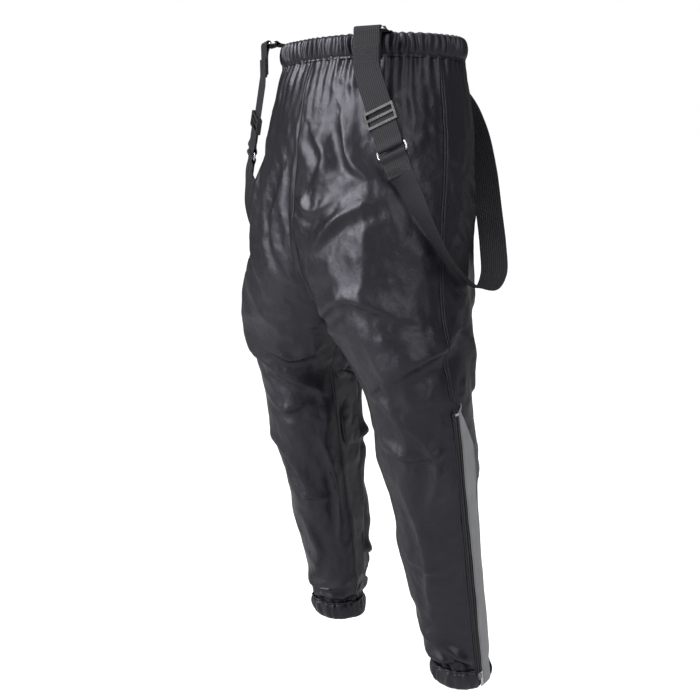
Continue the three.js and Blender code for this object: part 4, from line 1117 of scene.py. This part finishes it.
def ribbed(name, roughness, rib_scale, distortion, low, high, depth):
    """A narrow fabric woven with level ribs, and painted shade darkening the grooves between them."""
    material, tree, shader = fresh_material(name, roughness)
    place = tree.nodes.new("ShaderNodeTexCoord")
    ribs = tree.nodes.new("ShaderNodeTexWave")
    ribs.bands_direction = "Z"
    ribs.inputs["Scale"].default_value = rib_scale
    ribs.inputs["Distortion"].default_value = distortion
    tree.links.new(place.outputs["Object"], ribs.inputs["Vector"])
    # Painted shade: the rib pattern that bumps the surface also darkens its grooves.
    color_between(tree, shader, ribs.outputs["Fac"], low, high)
    bumped(tree, shader, ribs.outputs["Fac"], 0.5, depth)
    return material


# The darker of the two colours is painted shade in the rib grooves.
elastic_weave = ribbed(
    "woven_elastic", 0.8, 160, 0.0, (0.012, 0.012, 0.013), (0.045, 0.045, 0.05), 0.0004
)


def refinished(node, material):
    """Gives a carried-over CAD piece its finish."""
    frame["nodes"][node].data.materials.clear()
    frame["nodes"][node].data.materials.append(material)


for node in ("waist_elastic", "cuff_elastic_left", "cuff_elastic_right"):
    refinished(node, elastic_weave)

# ---------------------------------------------------------------- reflective strips
# Grey fabric tape with a glass bead coating, sewn on behind each outer zip. It is pointed at the
# top and runs down over the cuff to the hem.
STRIP_TIP_ROWS = 22
STRIP_LIFT = 0.0012
STRIP_ACROSS = 13
STRIP_THICKNESS = 0.0005
STRIP_THREAD_LIFT = 0.00035
HEM_ROWS = 9
bead_tape, bead_tree, bead_shader = fresh_material("glass_bead_tape", 0.45)
bead_place = bead_tree.nodes.new("ShaderNodeTexCoord")
beads = bead_tree.nodes.new("ShaderNodeTexVoronoi")
beads.inputs["Scale"].default_value = 1700
rubbed = bead_tree.nodes.new("ShaderNodeTexNoise")
rubbed.inputs["Scale"].default_value = 38
rubbed.inputs["Detail"].default_value = 6
for pattern in (beads, rubbed):
    bead_tree.links.new(bead_place.outputs["Object"], pattern.inputs["Vector"])
color_between(bead_tree, bead_shader, rubbed.outputs["Fac"], (0.155, 0.157, 0.165), (0.285, 0.288, 0.295))
bead_rough = value_between(bead_tree, rubbed.outputs["Fac"], 0.36, 0.55)
bead_tree.links.new(bead_rough, bead_shader.inputs["Roughness"])
bead_shader.inputs["Metallic"].default_value = 0.35
bumped(bead_tree, bead_shader, beads.outputs["Distance"], 0.25, 0.0003)


def strip_rows(side, sign):
    """The strip's own grid: over the shell, narrowed to its tip, then straight down to the hem."""
    grid = shell_grids[side]
    lifted = grid + grid_normals(grid) * sign * STRIP_LIFT
    first = zip_row - 4
    rows = []
    for r in range(first, len(grid)):
        share = min(1.0, 0.03 + (r - first) / STRIP_TIP_ROWS)
        at = strip_start - 1 + (strip_end - strip_start + 1) * share * np.linspace(0, 1, STRIP_ACROSS)
        low = np.clip(at.astype(int), 0, grid.shape[1] - 2)
        part = (at - low)[:, None]
        rows.append(lifted[r, low] * (1 - part) + lifted[r, low + 1] * part)
    last_row = rows[-1]
    for step in range(1, HEM_ROWS + 1):
        z = SHELL_BOTTOM + (cad_bounds[0][2] + 0.0008 - SHELL_BOTTOM) * step / HEM_ROWS
        moved = last_row.copy()
        moved[:, :2] += leg_lean * (sign, 1) * (z - SHELL_BOTTOM)
        ripple = 0.0006 * np.sin(1.7 * step + 2.6 * np.arange(STRIP_ACROSS) / STRIP_ACROSS)
        moved[:, 0] += sign * ripple
        moved[:, 2] = z
        rows.append(moved)
    return np.array(rows)


for side, sign in SIDES.items():
    rows = strip_rows(side, sign)
    strip = lined(grid_object(f"reflective_strip_{side}_sewn", rows, sign), STRIP_THICKNESS)
    finished(strip, bead_tape, "garment", "reflective_tape", f"reflective_strip_{side}")
    raised = rows + grid_normals(rows) * sign * STRIP_THREAD_LIFT
    edges = [raised[:, 1], raised[STRIP_TIP_ROWS:, -2]]
    stitched(f"strip_stitches_{side}", edges, "garment", "reflective_tape")

# ---------------------------------------------------------------- zips
# A coil zip on each outer leg: woven tape sewn to the panels, a nylon coil along each tape, metal
# stops at both ends, and a die-cast slider with a flat pull.
joints = {joint["name"]: joint for joint in frame["joints"]}
ZIP_SLIDER_REST = 0.022
PULL_AXIS_HEIGHT = 0.0039
COIL_MIDDLE = 0.0021
COIL_PITCH = 0.0017
# The darker of the two colours is painted shade in the rib grooves.
zip_tape = ribbed(
    "woven_zip_tape", 0.72, 330, 1.5, (0.010, 0.010, 0.012), (0.034, 0.034, 0.040), 0.0003
)


def speckled(name, low, high, rough_low, rough_high, metallic, scale):
    """A moulded or cast surface with fine mottling."""
    material, tree, shader = fresh_material(name, rough_low, metallic)
    place = tree.nodes.new("ShaderNodeTexCoord")
    mottle = tree.nodes.new("ShaderNodeTexNoise")
    mottle.inputs["Scale"].default_value = scale
    mottle.inputs["Detail"].default_value = 5
    tree.links.new(place.outputs["Object"], mottle.inputs["Vector"])
    color_between(tree, shader, mottle.outputs["Fac"], low, high)
    roughness = value_between(tree, mottle.outputs["Fac"], rough_low, rough_high)
    tree.links.new(roughness, shader.inputs["Roughness"])
    bumped(tree, shader, mottle.outputs["Fac"], 0.12, 0.0002)
    return material


coil_nylon = speckled("coil_nylon", (0.016, 0.016, 0.019), (0.040, 0.040, 0.046), 0.28, 0.42, 0.0, 700)
zip_steel = speckled("nickel_plate", (0.50, 0.50, 0.52), (0.72, 0.72, 0.74), 0.20, 0.38, 1.0, 260)
COIL_LENGTH = 0.0014
COIL_WIDTH = 0.0027
COIL_HEIGHT = 0.0020
COIL_LIFT = 0.0003
CHAIN_START = 0.003
CHAIN_LENGTH = 0.469
EDGE_ROUNDING = 0.0004
COILS = row_tree("zip_coil", COIL_PITCH, COIL_LENGTH, COIL_WIDTH, COIL_HEIGHT)


def bevelled(node, width, material, body, slot_name):
    """A copy of a hard CAD piece with its edges rounded."""
    copy = bmesh.new()
    copy.from_mesh(frame["nodes"][node].data)
    bmesh.ops.remove_doubles(copy, verts=copy.verts, dist=1e-6)
    bmesh.ops.dissolve_limit(copy, angle_limit=math.radians(1), verts=copy.verts, edges=copy.edges)
    made = mesh_object(f"{node}_rounded", [], [])
    copy.to_mesh(made.data)
    copy.free()
    bevel = made.modifiers.new("rounding", "BEVEL")
    bevel.width = width
    bevel.segments = 3
    bevel.limit_method = "ANGLE"
    bevel.angle_limit = math.radians(35)
    bevel.use_clamp_overlap = True
    applied(made)
    return finished(made, material, body, slot_name, node)


for side, sign in SIDES.items():
    pull_joint = joints[f"zip_pull_turn_{side}"]
    up = np.array(joints[f"zip_slide_{side}"]["axis"])
    across = -np.array(pull_joint["axis"]) * sign
    across = across * np.sign(across[1])
    out = np.cross(across, up) * sign
    out = out * np.sign(out[0] * sign)
    base = np.array(pull_joint["pos_m"]) - up * ZIP_SLIDER_REST - out * PULL_AXIS_HEIGHT
    chain = [base + up * (CHAIN_START + CHAIN_LENGTH * share) for share in np.linspace(0, 1, 60)]
    coils = [[p + across * COIL_MIDDLE * half + out * COIL_LIFT for p in chain] for half in (-1, 1)]
    rowed(f"zip_coils_{side}", coils, COILS, coil_nylon, "garment", "zip_tape")
    for half in ("front", "rear"):
        refinished(f"zip_{half}_half_{side}", zip_tape)
    for node in (f"zip_top_stop_{side}", f"zip_bottom_stop_{side}"):
        bevelled(node, EDGE_ROUNDING, zip_steel, "garment", "zip_metal")
    bevelled(f"zip_slider_{side}", EDGE_ROUNDING, zip_steel, f"slider_{side}", "zip_metal")
    bevelled(f"zip_pull_{side}", EDGE_ROUNDING, zip_steel, f"pull_{side}", "zip_metal")

# ---------------------------------------------------------------- braces
# Wide woven webbing. A tab inside the waistband holds a wire ring, a loop hangs from the ring, and
# the front strap is sewn to the loop and folds back round a second ring. The long strap hangs from
# that ring in a bow and ends on a tab at the back. All ends are closed by box stitching.
WEBBING_WIDTH = 0.040
WEBBING = 0.0017
WIRE_RADIUS = 0.0015
WIRE_SIDES = 12
RING_HALF = 0.0225
RING_CORNER = 0.0045
LOWER_END = (0.042, -0.009, -0.123)
BAR_INWARD = -0.0011
TOP_BAR = -0.003
BOTTOM_BAR = -0.015
WRAP = 0.0034
FOLD_TOP = 0.042

webbing_weave, web_tree, web_shader = fresh_material("black_webbing", 0.75)
web_map = web_tree.nodes.new("ShaderNodeUVMap")
web_map.uv_map = "weave"
web_parts = web_tree.nodes.new("ShaderNodeSeparateXYZ")
web_tree.links.new(web_map.outputs["UV"], web_parts.inputs["Vector"])
web_group = web_tree.nodes.new("ShaderNodeGroup")
web_group.node_tree = TWILL_WEAVE
web_group.inputs["Rib"].default_value = 0.0030
web_group.inputs["Pick"].default_value = 0.0020
web_tree.links.new(web_parts.outputs["X"], web_group.inputs["Across"])
web_tree.links.new(web_parts.outputs["Y"], web_group.inputs["Along"])
WEB_HOLLOW_SHADE = (0.0045, 0.0045, 0.0060)
WEB_RIB_TOPS = (0.0200, 0.0200, 0.0250)
# Painted shade: the weave's hollows are coloured darker than its raised ribs, by the same height that bumps
# them.
color_between(web_tree, web_shader, web_group.outputs["Shade"], WEB_HOLLOW_SHADE, WEB_RIB_TOPS)
web_rough = value_between(web_tree, web_group.outputs["Shade"], 0.82, 0.62)
web_tree.links.new(web_rough, web_shader.inputs["Roughness"])
web_shader.inputs["Specular IOR Level"].default_value = 0.3
bumped(web_tree, web_shader, web_group.outputs["Height"], 0.8, 0.0005)
ring_steel = speckled("ring_steel", (0.52, 0.52, 0.54), (0.74, 0.74, 0.76), 0.16, 0.34, 1.0, 140)
buckle_plastic = speckled(
    "buckle_plastic", (0.011, 0.011, 0.012), (0.028, 0.028, 0.031), 0.34, 0.50, 0.0, 500
)

WEB_FACE = [
    (-1, -0.45), (-0.97, -0.85), (-0.90, -1), (-0.45, -1), (0, -1), (0.45, -1), (0.90, -1),
    (0.97, -0.85), (1, -0.45),
]
WEB_SECTION = WEB_FACE + [(-u, -v) for u, v in WEB_FACE]


def facing_outwards(made):
    """Turns a closed mesh's faces outwards and shades all but its end faces smooth."""
    shape = bmesh.new()
    shape.from_mesh(made.data)
    bmesh.ops.recalc_face_normals(shape, faces=shape.faces)
    shape.to_mesh(made.data)
    shape.free()
    smoothly_shaded(made)


def webbing_shape(name, middles, acrosses, sign):
    """Closed webbing along a line, given where its width points."""
    middles, acrosses = np.array(middles), np.array(acrosses)
    along = np.gradient(middles, axis=0)
    along /= np.linalg.norm(along, axis=1, keepdims=True)
    side_of = acrosses - (acrosses * along).sum(axis=1, keepdims=True) * along
    side_of /= np.linalg.norm(side_of, axis=1, keepdims=True)
    face = np.cross(along, side_of)
    rings = np.array(
        [middles + side_of * u * WEBBING_WIDTH / 2 + face * v * WEBBING / 2 for u, v in WEB_SECTION]
    )
    rings = rings.transpose(1, 0, 2) * (sign, 1, 1)
    count, around = rings.shape[:2]
    faces = []
    for r in range(count - 1):
        for k in range(around):
            a, b = r * around + k, r * around + (k + 1) % around
            faces.append([a, b, b + around, a + around])
    faces.append(list(range(around)))
    faces.append([(count - 1) * around + k for k in range(around)])
    made = mesh_object(name, rings.reshape(-1, 3), faces)
    length = lengths_along(middles)
    layer = made.data.uv_layers.new(name="weave")
    for loop in made.data.loops:
        r, k = divmod(loop.vertex_index, around)
        layer.data[loop.index].uv = (WEB_SECTION[k][0] * WEBBING_WIDTH / 2, length[r])
    facing_outwards(made)
    return made


def wire_ring(name, middle, width_way, reach_way, reach, sign, body, node):
    """A closed rectangle of round wire with rounded corners."""
    line = []
    for cu, cv, start in ((1, 1, 0), (-1, 1, 90), (-1, -1, 180), (1, -1, 270)):
        for step in range(7):
            turn = math.radians(start + 15 * step)
            u = cu * (RING_HALF - RING_CORNER) + RING_CORNER * math.cos(turn)
            v = cv * (reach / 2 - RING_CORNER) + RING_CORNER * math.sin(turn)
            line.append(middle + width_way * u + reach_way * v)
    line = np.array(line)
    along = np.roll(line, -1, axis=0) - np.roll(line, 1, axis=0)
    along /= np.linalg.norm(along, axis=1, keepdims=True)
    upright = np.cross(width_way, reach_way)
    outer = np.cross(along, upright)
    turns = np.arange(WIRE_SIDES) * 2 * math.pi / WIRE_SIDES
    rings = np.array([line + WIRE_RADIUS * (outer * math.cos(t) + upright * math.sin(t)) for t in turns])
    rings = rings.transpose(1, 0, 2) * (sign, 1, 1)
    faces = []
    count = len(line)
    for r in range(count):
        for k in range(WIRE_SIDES):
            here, ahead = r * WIRE_SIDES, (r + 1) % count * WIRE_SIDES
            beside = (k + 1) % WIRE_SIDES
            faces.append([here + k, here + beside, ahead + beside, ahead + k])
    made = mesh_object(name, rings.reshape(-1, 3), faces)
    facing_outwards(made)
    finished(made, ring_steel, body, "ring_steel", node)


# The left brace in its own directions: across the webbing, backwards along the swing axis, and up.
swing = joints["brace_swing_left"]
pivot = np.array(swing["pos_m"])
back_way = -np.array(swing["axis"])
back_way /= np.linalg.norm(back_way)
up_way = np.array((0.0, 0.0, 1.0))
across_way = np.cross(back_way, up_way)


def in_brace(u, v, z):
    """A point of the left brace: across, backwards and at a height."""
    return np.array((pivot[0], pivot[1], 0.0)) + across_way * u + back_way * v + up_way * z


def reach_of(node, way, origin=pivot):
    """How far a CAD piece reaches one way from a point, to its near and far ends."""
    points = np.array([tuple(v.co) for v in frame["nodes"][node].data.vertices]) - origin
    return (points @ way).min(), (points @ way).max()


def box_stitch(middle, width_way, height_way, half_width, half_height):
    """A rectangle of stitches with a cross in it."""
    low_left, low_right, high_right, high_left = (
        middle + width_way * u * half_width + height_way * v * half_height
        for u, v in ((-1, -1), (1, -1), (1, 1), (-1, 1))
    )
    ring = [low_left, low_right, high_right, high_left, low_left]
    return [ring, [low_left, high_right], [low_right, high_left]]


def mirrored_lines(lines, sign):
    """The lines of the left side, or their mirror image for the right."""
    return [[np.array(p) * (sign, 1, 1) for p in line] for line in lines]


ring_front, ring_back = reach_of("brace_waist_ring_left", back_way)
ring_low, ring_high = reach_of("brace_waist_ring_left", up_way, np.zeros(3))
ring_z = (ring_low + ring_high) / 2
bar_outer, bar_inner = ring_front + WIRE_RADIUS, ring_back - WIRE_RADIUS
tab_leg = reach_of("brace_tab_left", back_way)[1] - WEBBING / 2
tab_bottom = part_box("brace_tab_left")[0].z
tail_front = reach_of("brace_loop_left", back_way)[0]
tail_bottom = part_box("brace_loop_left")[0].z
patch_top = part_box("brace_front_strap_left")[1].z


def wrapped(v, z, start, end, radius=WRAP):
    """Points round a bar, by angle from straight back, over the top."""
    return [
        in_brace(0, v + radius * math.cos(t), z + radius * math.sin(t))
        for t in np.radians(np.linspace(start, end, 9))
    ]


tab_line = [in_brace(0, tab_leg, z) for z in (tab_bottom, -0.012, -0.003)]
tab_line += [in_brace(0, tab_leg - 0.0018, 0.0012), in_brace(0, (tab_leg + bar_inner) / 2, 0.0016)]
tab_line += [in_brace(0, bar_inner + 0.005, 0.0034)] + wrapped(bar_inner, ring_z, 60, 300)
tab_line += [in_brace(0, bar_inner + 0.0065, ring_z - 0.0014)]
loop_front = tail_front + WEBBING / 2
loop_line = [in_brace(0, loop_front, z) for z in (tail_bottom, -0.02, -0.006)]
loop_line += wrapped(bar_outer, ring_z, 180, -20, bar_outer - loop_front)
loop_line += [in_brace(0, loop_front + 0.0030, -0.009), in_brace(0, loop_front + 0.0019, -0.016)]
loop_line += [in_brace(0, loop_front + 0.0018, z) for z in (-0.026, tail_bottom + 0.004)]

strap_up = np.array(joints["brace_adjust_left"]["axis"])
strap_up /= np.linalg.norm(strap_up)
lower_end = in_brace(LOWER_END[0], LOWER_END[1], pivot[2] + LOWER_END[2])
strap_out = -back_way - strap_up * (-back_way @ strap_up)
strap_out /= np.linalg.norm(strap_out)
strap_across = np.cross(strap_up, strap_out)


def in_strap(inward, z):
    """A point of the front strap, from its lower end: inwards and along the strap."""
    return lower_end - strap_out * inward + strap_up * z


def strap_round(bar, rise, start, end):
    """Points of the strap's webbing round a bar of the lower ring, by angle."""
    return [
        in_strap(BAR_INWARD + WRAP * math.cos(t), bar + rise * math.sin(t))
        for t in np.radians(np.linspace(start, end, 9))
    ]


strap_line = [in_brace(0, 0, z) for z in (patch_top, -0.030, -0.041)]
strap_line += [in_brace(0.0006, -0.0001, -0.0455)]
strap_length = np.linalg.norm(in_brace(0, 0, -0.048) - lower_end)
strap_line += [in_strap(0, strap_length - d) for d in (0.006, 0.012, 0.030)]
strap_line += [in_strap(0, z) for z in (0.045, 0.030, 0.015, 0.006)]
strap_line += strap_round(TOP_BAR, -WRAP, -15, 195)
strap_line += [in_strap(-0.0022, z) for z in (0.006, 0.015, 0.028, FOLD_TOP)]
strap_acrosses = [across_way] * 4 + [strap_across] * (len(strap_line) - 4)

BOW = [
    ((0.190, -0.093, -0.206), 8), ((0.207, -0.079, -0.248), -8), ((0.219, -0.050, -0.297), -25),
    ((0.224, -0.010, -0.336), -30), ((0.219, 0.030, -0.350), -5), ((0.199, 0.068, -0.335), 20),
    ((0.170, 0.096, -0.296), 30), ((0.149, 0.108, -0.246), 28), ((0.128, 0.118, -0.186), 16),
    ((0.094, 0.128, -0.120), 8), ((0.052, 0.132, -0.076), 14),
]
back_reach = reach_of("brace_back_tab_left", back_way)
back_side = reach_of("brace_back_tab_left", across_way)
back_u = (back_side[0] + back_side[1]) / 2
back_patch = back_reach[1] + 0.0004 + WEBBING / 2
swing_degrees = math.degrees(math.atan2(across_way[1], across_way[0]))


def level(degrees):
    """A level direction, by angle from the wearer's left."""
    return np.array((math.cos(math.radians(degrees)), math.sin(math.radians(degrees)), 0.0))


bow_tail = [in_strap(BAR_INWARD + 0.0021, BOTTOM_BAR - z) for z in (0.030, 0.016, 0.008)]
bow_wrap = strap_round(BOTTOM_BAR, WRAP, -10, 190)
bow_start = bow_tail + bow_wrap + [in_strap(BAR_INWARD, BOTTOM_BAR - z) for z in (0.008, 0.018)]
bow_end = [in_brace(back_u + 0.003, back_patch, -0.056), in_brace(back_u, back_patch, -0.044)]
bow_end += [in_brace(back_u, back_patch, -0.031), in_brace(back_u, back_patch, patch_top)]
bow_line = bow_start + [np.array(p) for p, _ in BOW] + bow_end
bow_acrosses = [strap_across] * len(bow_start) + [level(d) for _, d in BOW] + [level(swing_degrees)] * 4
back_middle = (back_reach[0] + back_reach[1]) / 2
back_line = [in_brace(back_u, back_middle, z) for z in (tail_bottom, -0.030, -0.015, -0.002)]


def spun(points, ways, spacing=0.0035):
    """A smooth line through points, with the width's direction carried along it."""
    points, ways = np.array(points), np.array(ways, float)
    at = lengths_along(points)
    lengths = np.linspace(0, at[-1], max(10, int(at[-1] / spacing)))
    ways = np.stack([np.interp(lengths, at, ways[:, axis]) for axis in range(3)], axis=1)
    return resampled(points, lengths), ways


BRACE_PIECES = [
    ("brace_tab", tab_line, [across_way] * len(tab_line), 0.0012, "garment"),
    ("brace_loop", loop_line, [across_way] * len(loop_line), 0.0012, "garment"),
    ("brace_front_strap", strap_line, strap_acrosses, 0.0012, "brace"),
    ("brace_long_strap", bow_line, bow_acrosses, 0.0018, "brace"),
    ("brace_back_tab", back_line, [across_way] * 4, 0.0030, "garment"),
]
PATCH_BOTTOM = -0.043
BOX_HALF_WIDTH = 0.0155
BOX_HALF_HEIGHT = 0.0095
BOW_BOX_HALF_HEIGHT = 0.008
THREAD_WIDTH = 0.0008
BUCKLE_ROUNDING = 0.0006
patch_middle = (patch_top + PATCH_BOTTOM) / 2
web_face = WEBBING / 2 + 0.0002
front_box = box_stitch(
    in_brace(0, -web_face, patch_middle), across_way, up_way, BOX_HALF_WIDTH, BOX_HALF_HEIGHT
)
back_box = box_stitch(
    in_brace(back_u, back_patch + web_face, patch_middle), across_way, up_way,
    BOX_HALF_WIDTH, BOX_HALF_HEIGHT,
)
bow_box = box_stitch(
    in_strap(BAR_INWARD - web_face, BOTTOM_BAR - 0.019), strap_across, strap_up,
    BOX_HALF_WIDTH, BOW_BOX_HALF_HEIGHT,
)
for side, sign in SIDES.items():
    bodies = {"garment": "garment", "brace": f"brace_{side}"}
    for name, line, ways, spacing, body in BRACE_PIECES:
        points, widths = spun(line, ways, spacing)
        made = webbing_shape(f"{name}_{side}_webbing", points, widths, sign)
        finished(made, webbing_weave, bodies[body], "webbing", f"{name}_{side}")
    ring_middle = in_brace(0, (bar_outer + bar_inner) / 2, ring_z)
    wire_ring(
        f"brace_waist_ring_{side}_wire", ring_middle, across_way, back_way, bar_inner - bar_outer,
        sign, "garment", f"brace_waist_ring_{side}",
    )
    lower_middle = in_strap(BAR_INWARD, (TOP_BAR + BOTTOM_BAR) / 2)
    wire_ring(
        f"brace_lower_ring_{side}_wire", lower_middle, strap_across, strap_up, TOP_BAR - BOTTOM_BAR, sign,
        f"brace_{side}", f"brace_lower_ring_{side}",
    )
    bevelled(f"brace_adjuster_{side}", BUCKLE_ROUNDING, buckle_plastic, f"adjuster_{side}", "buckle_plastic")
    brace_lines = mirrored_lines(front_box + back_box + bow_box, sign)
    stitched(
        f"brace_stitches_{side}", brace_lines, f"brace_{side}", "webbing",
        Width=THREAD_WIDTH, Height=THREAD_WIDTH,
    )
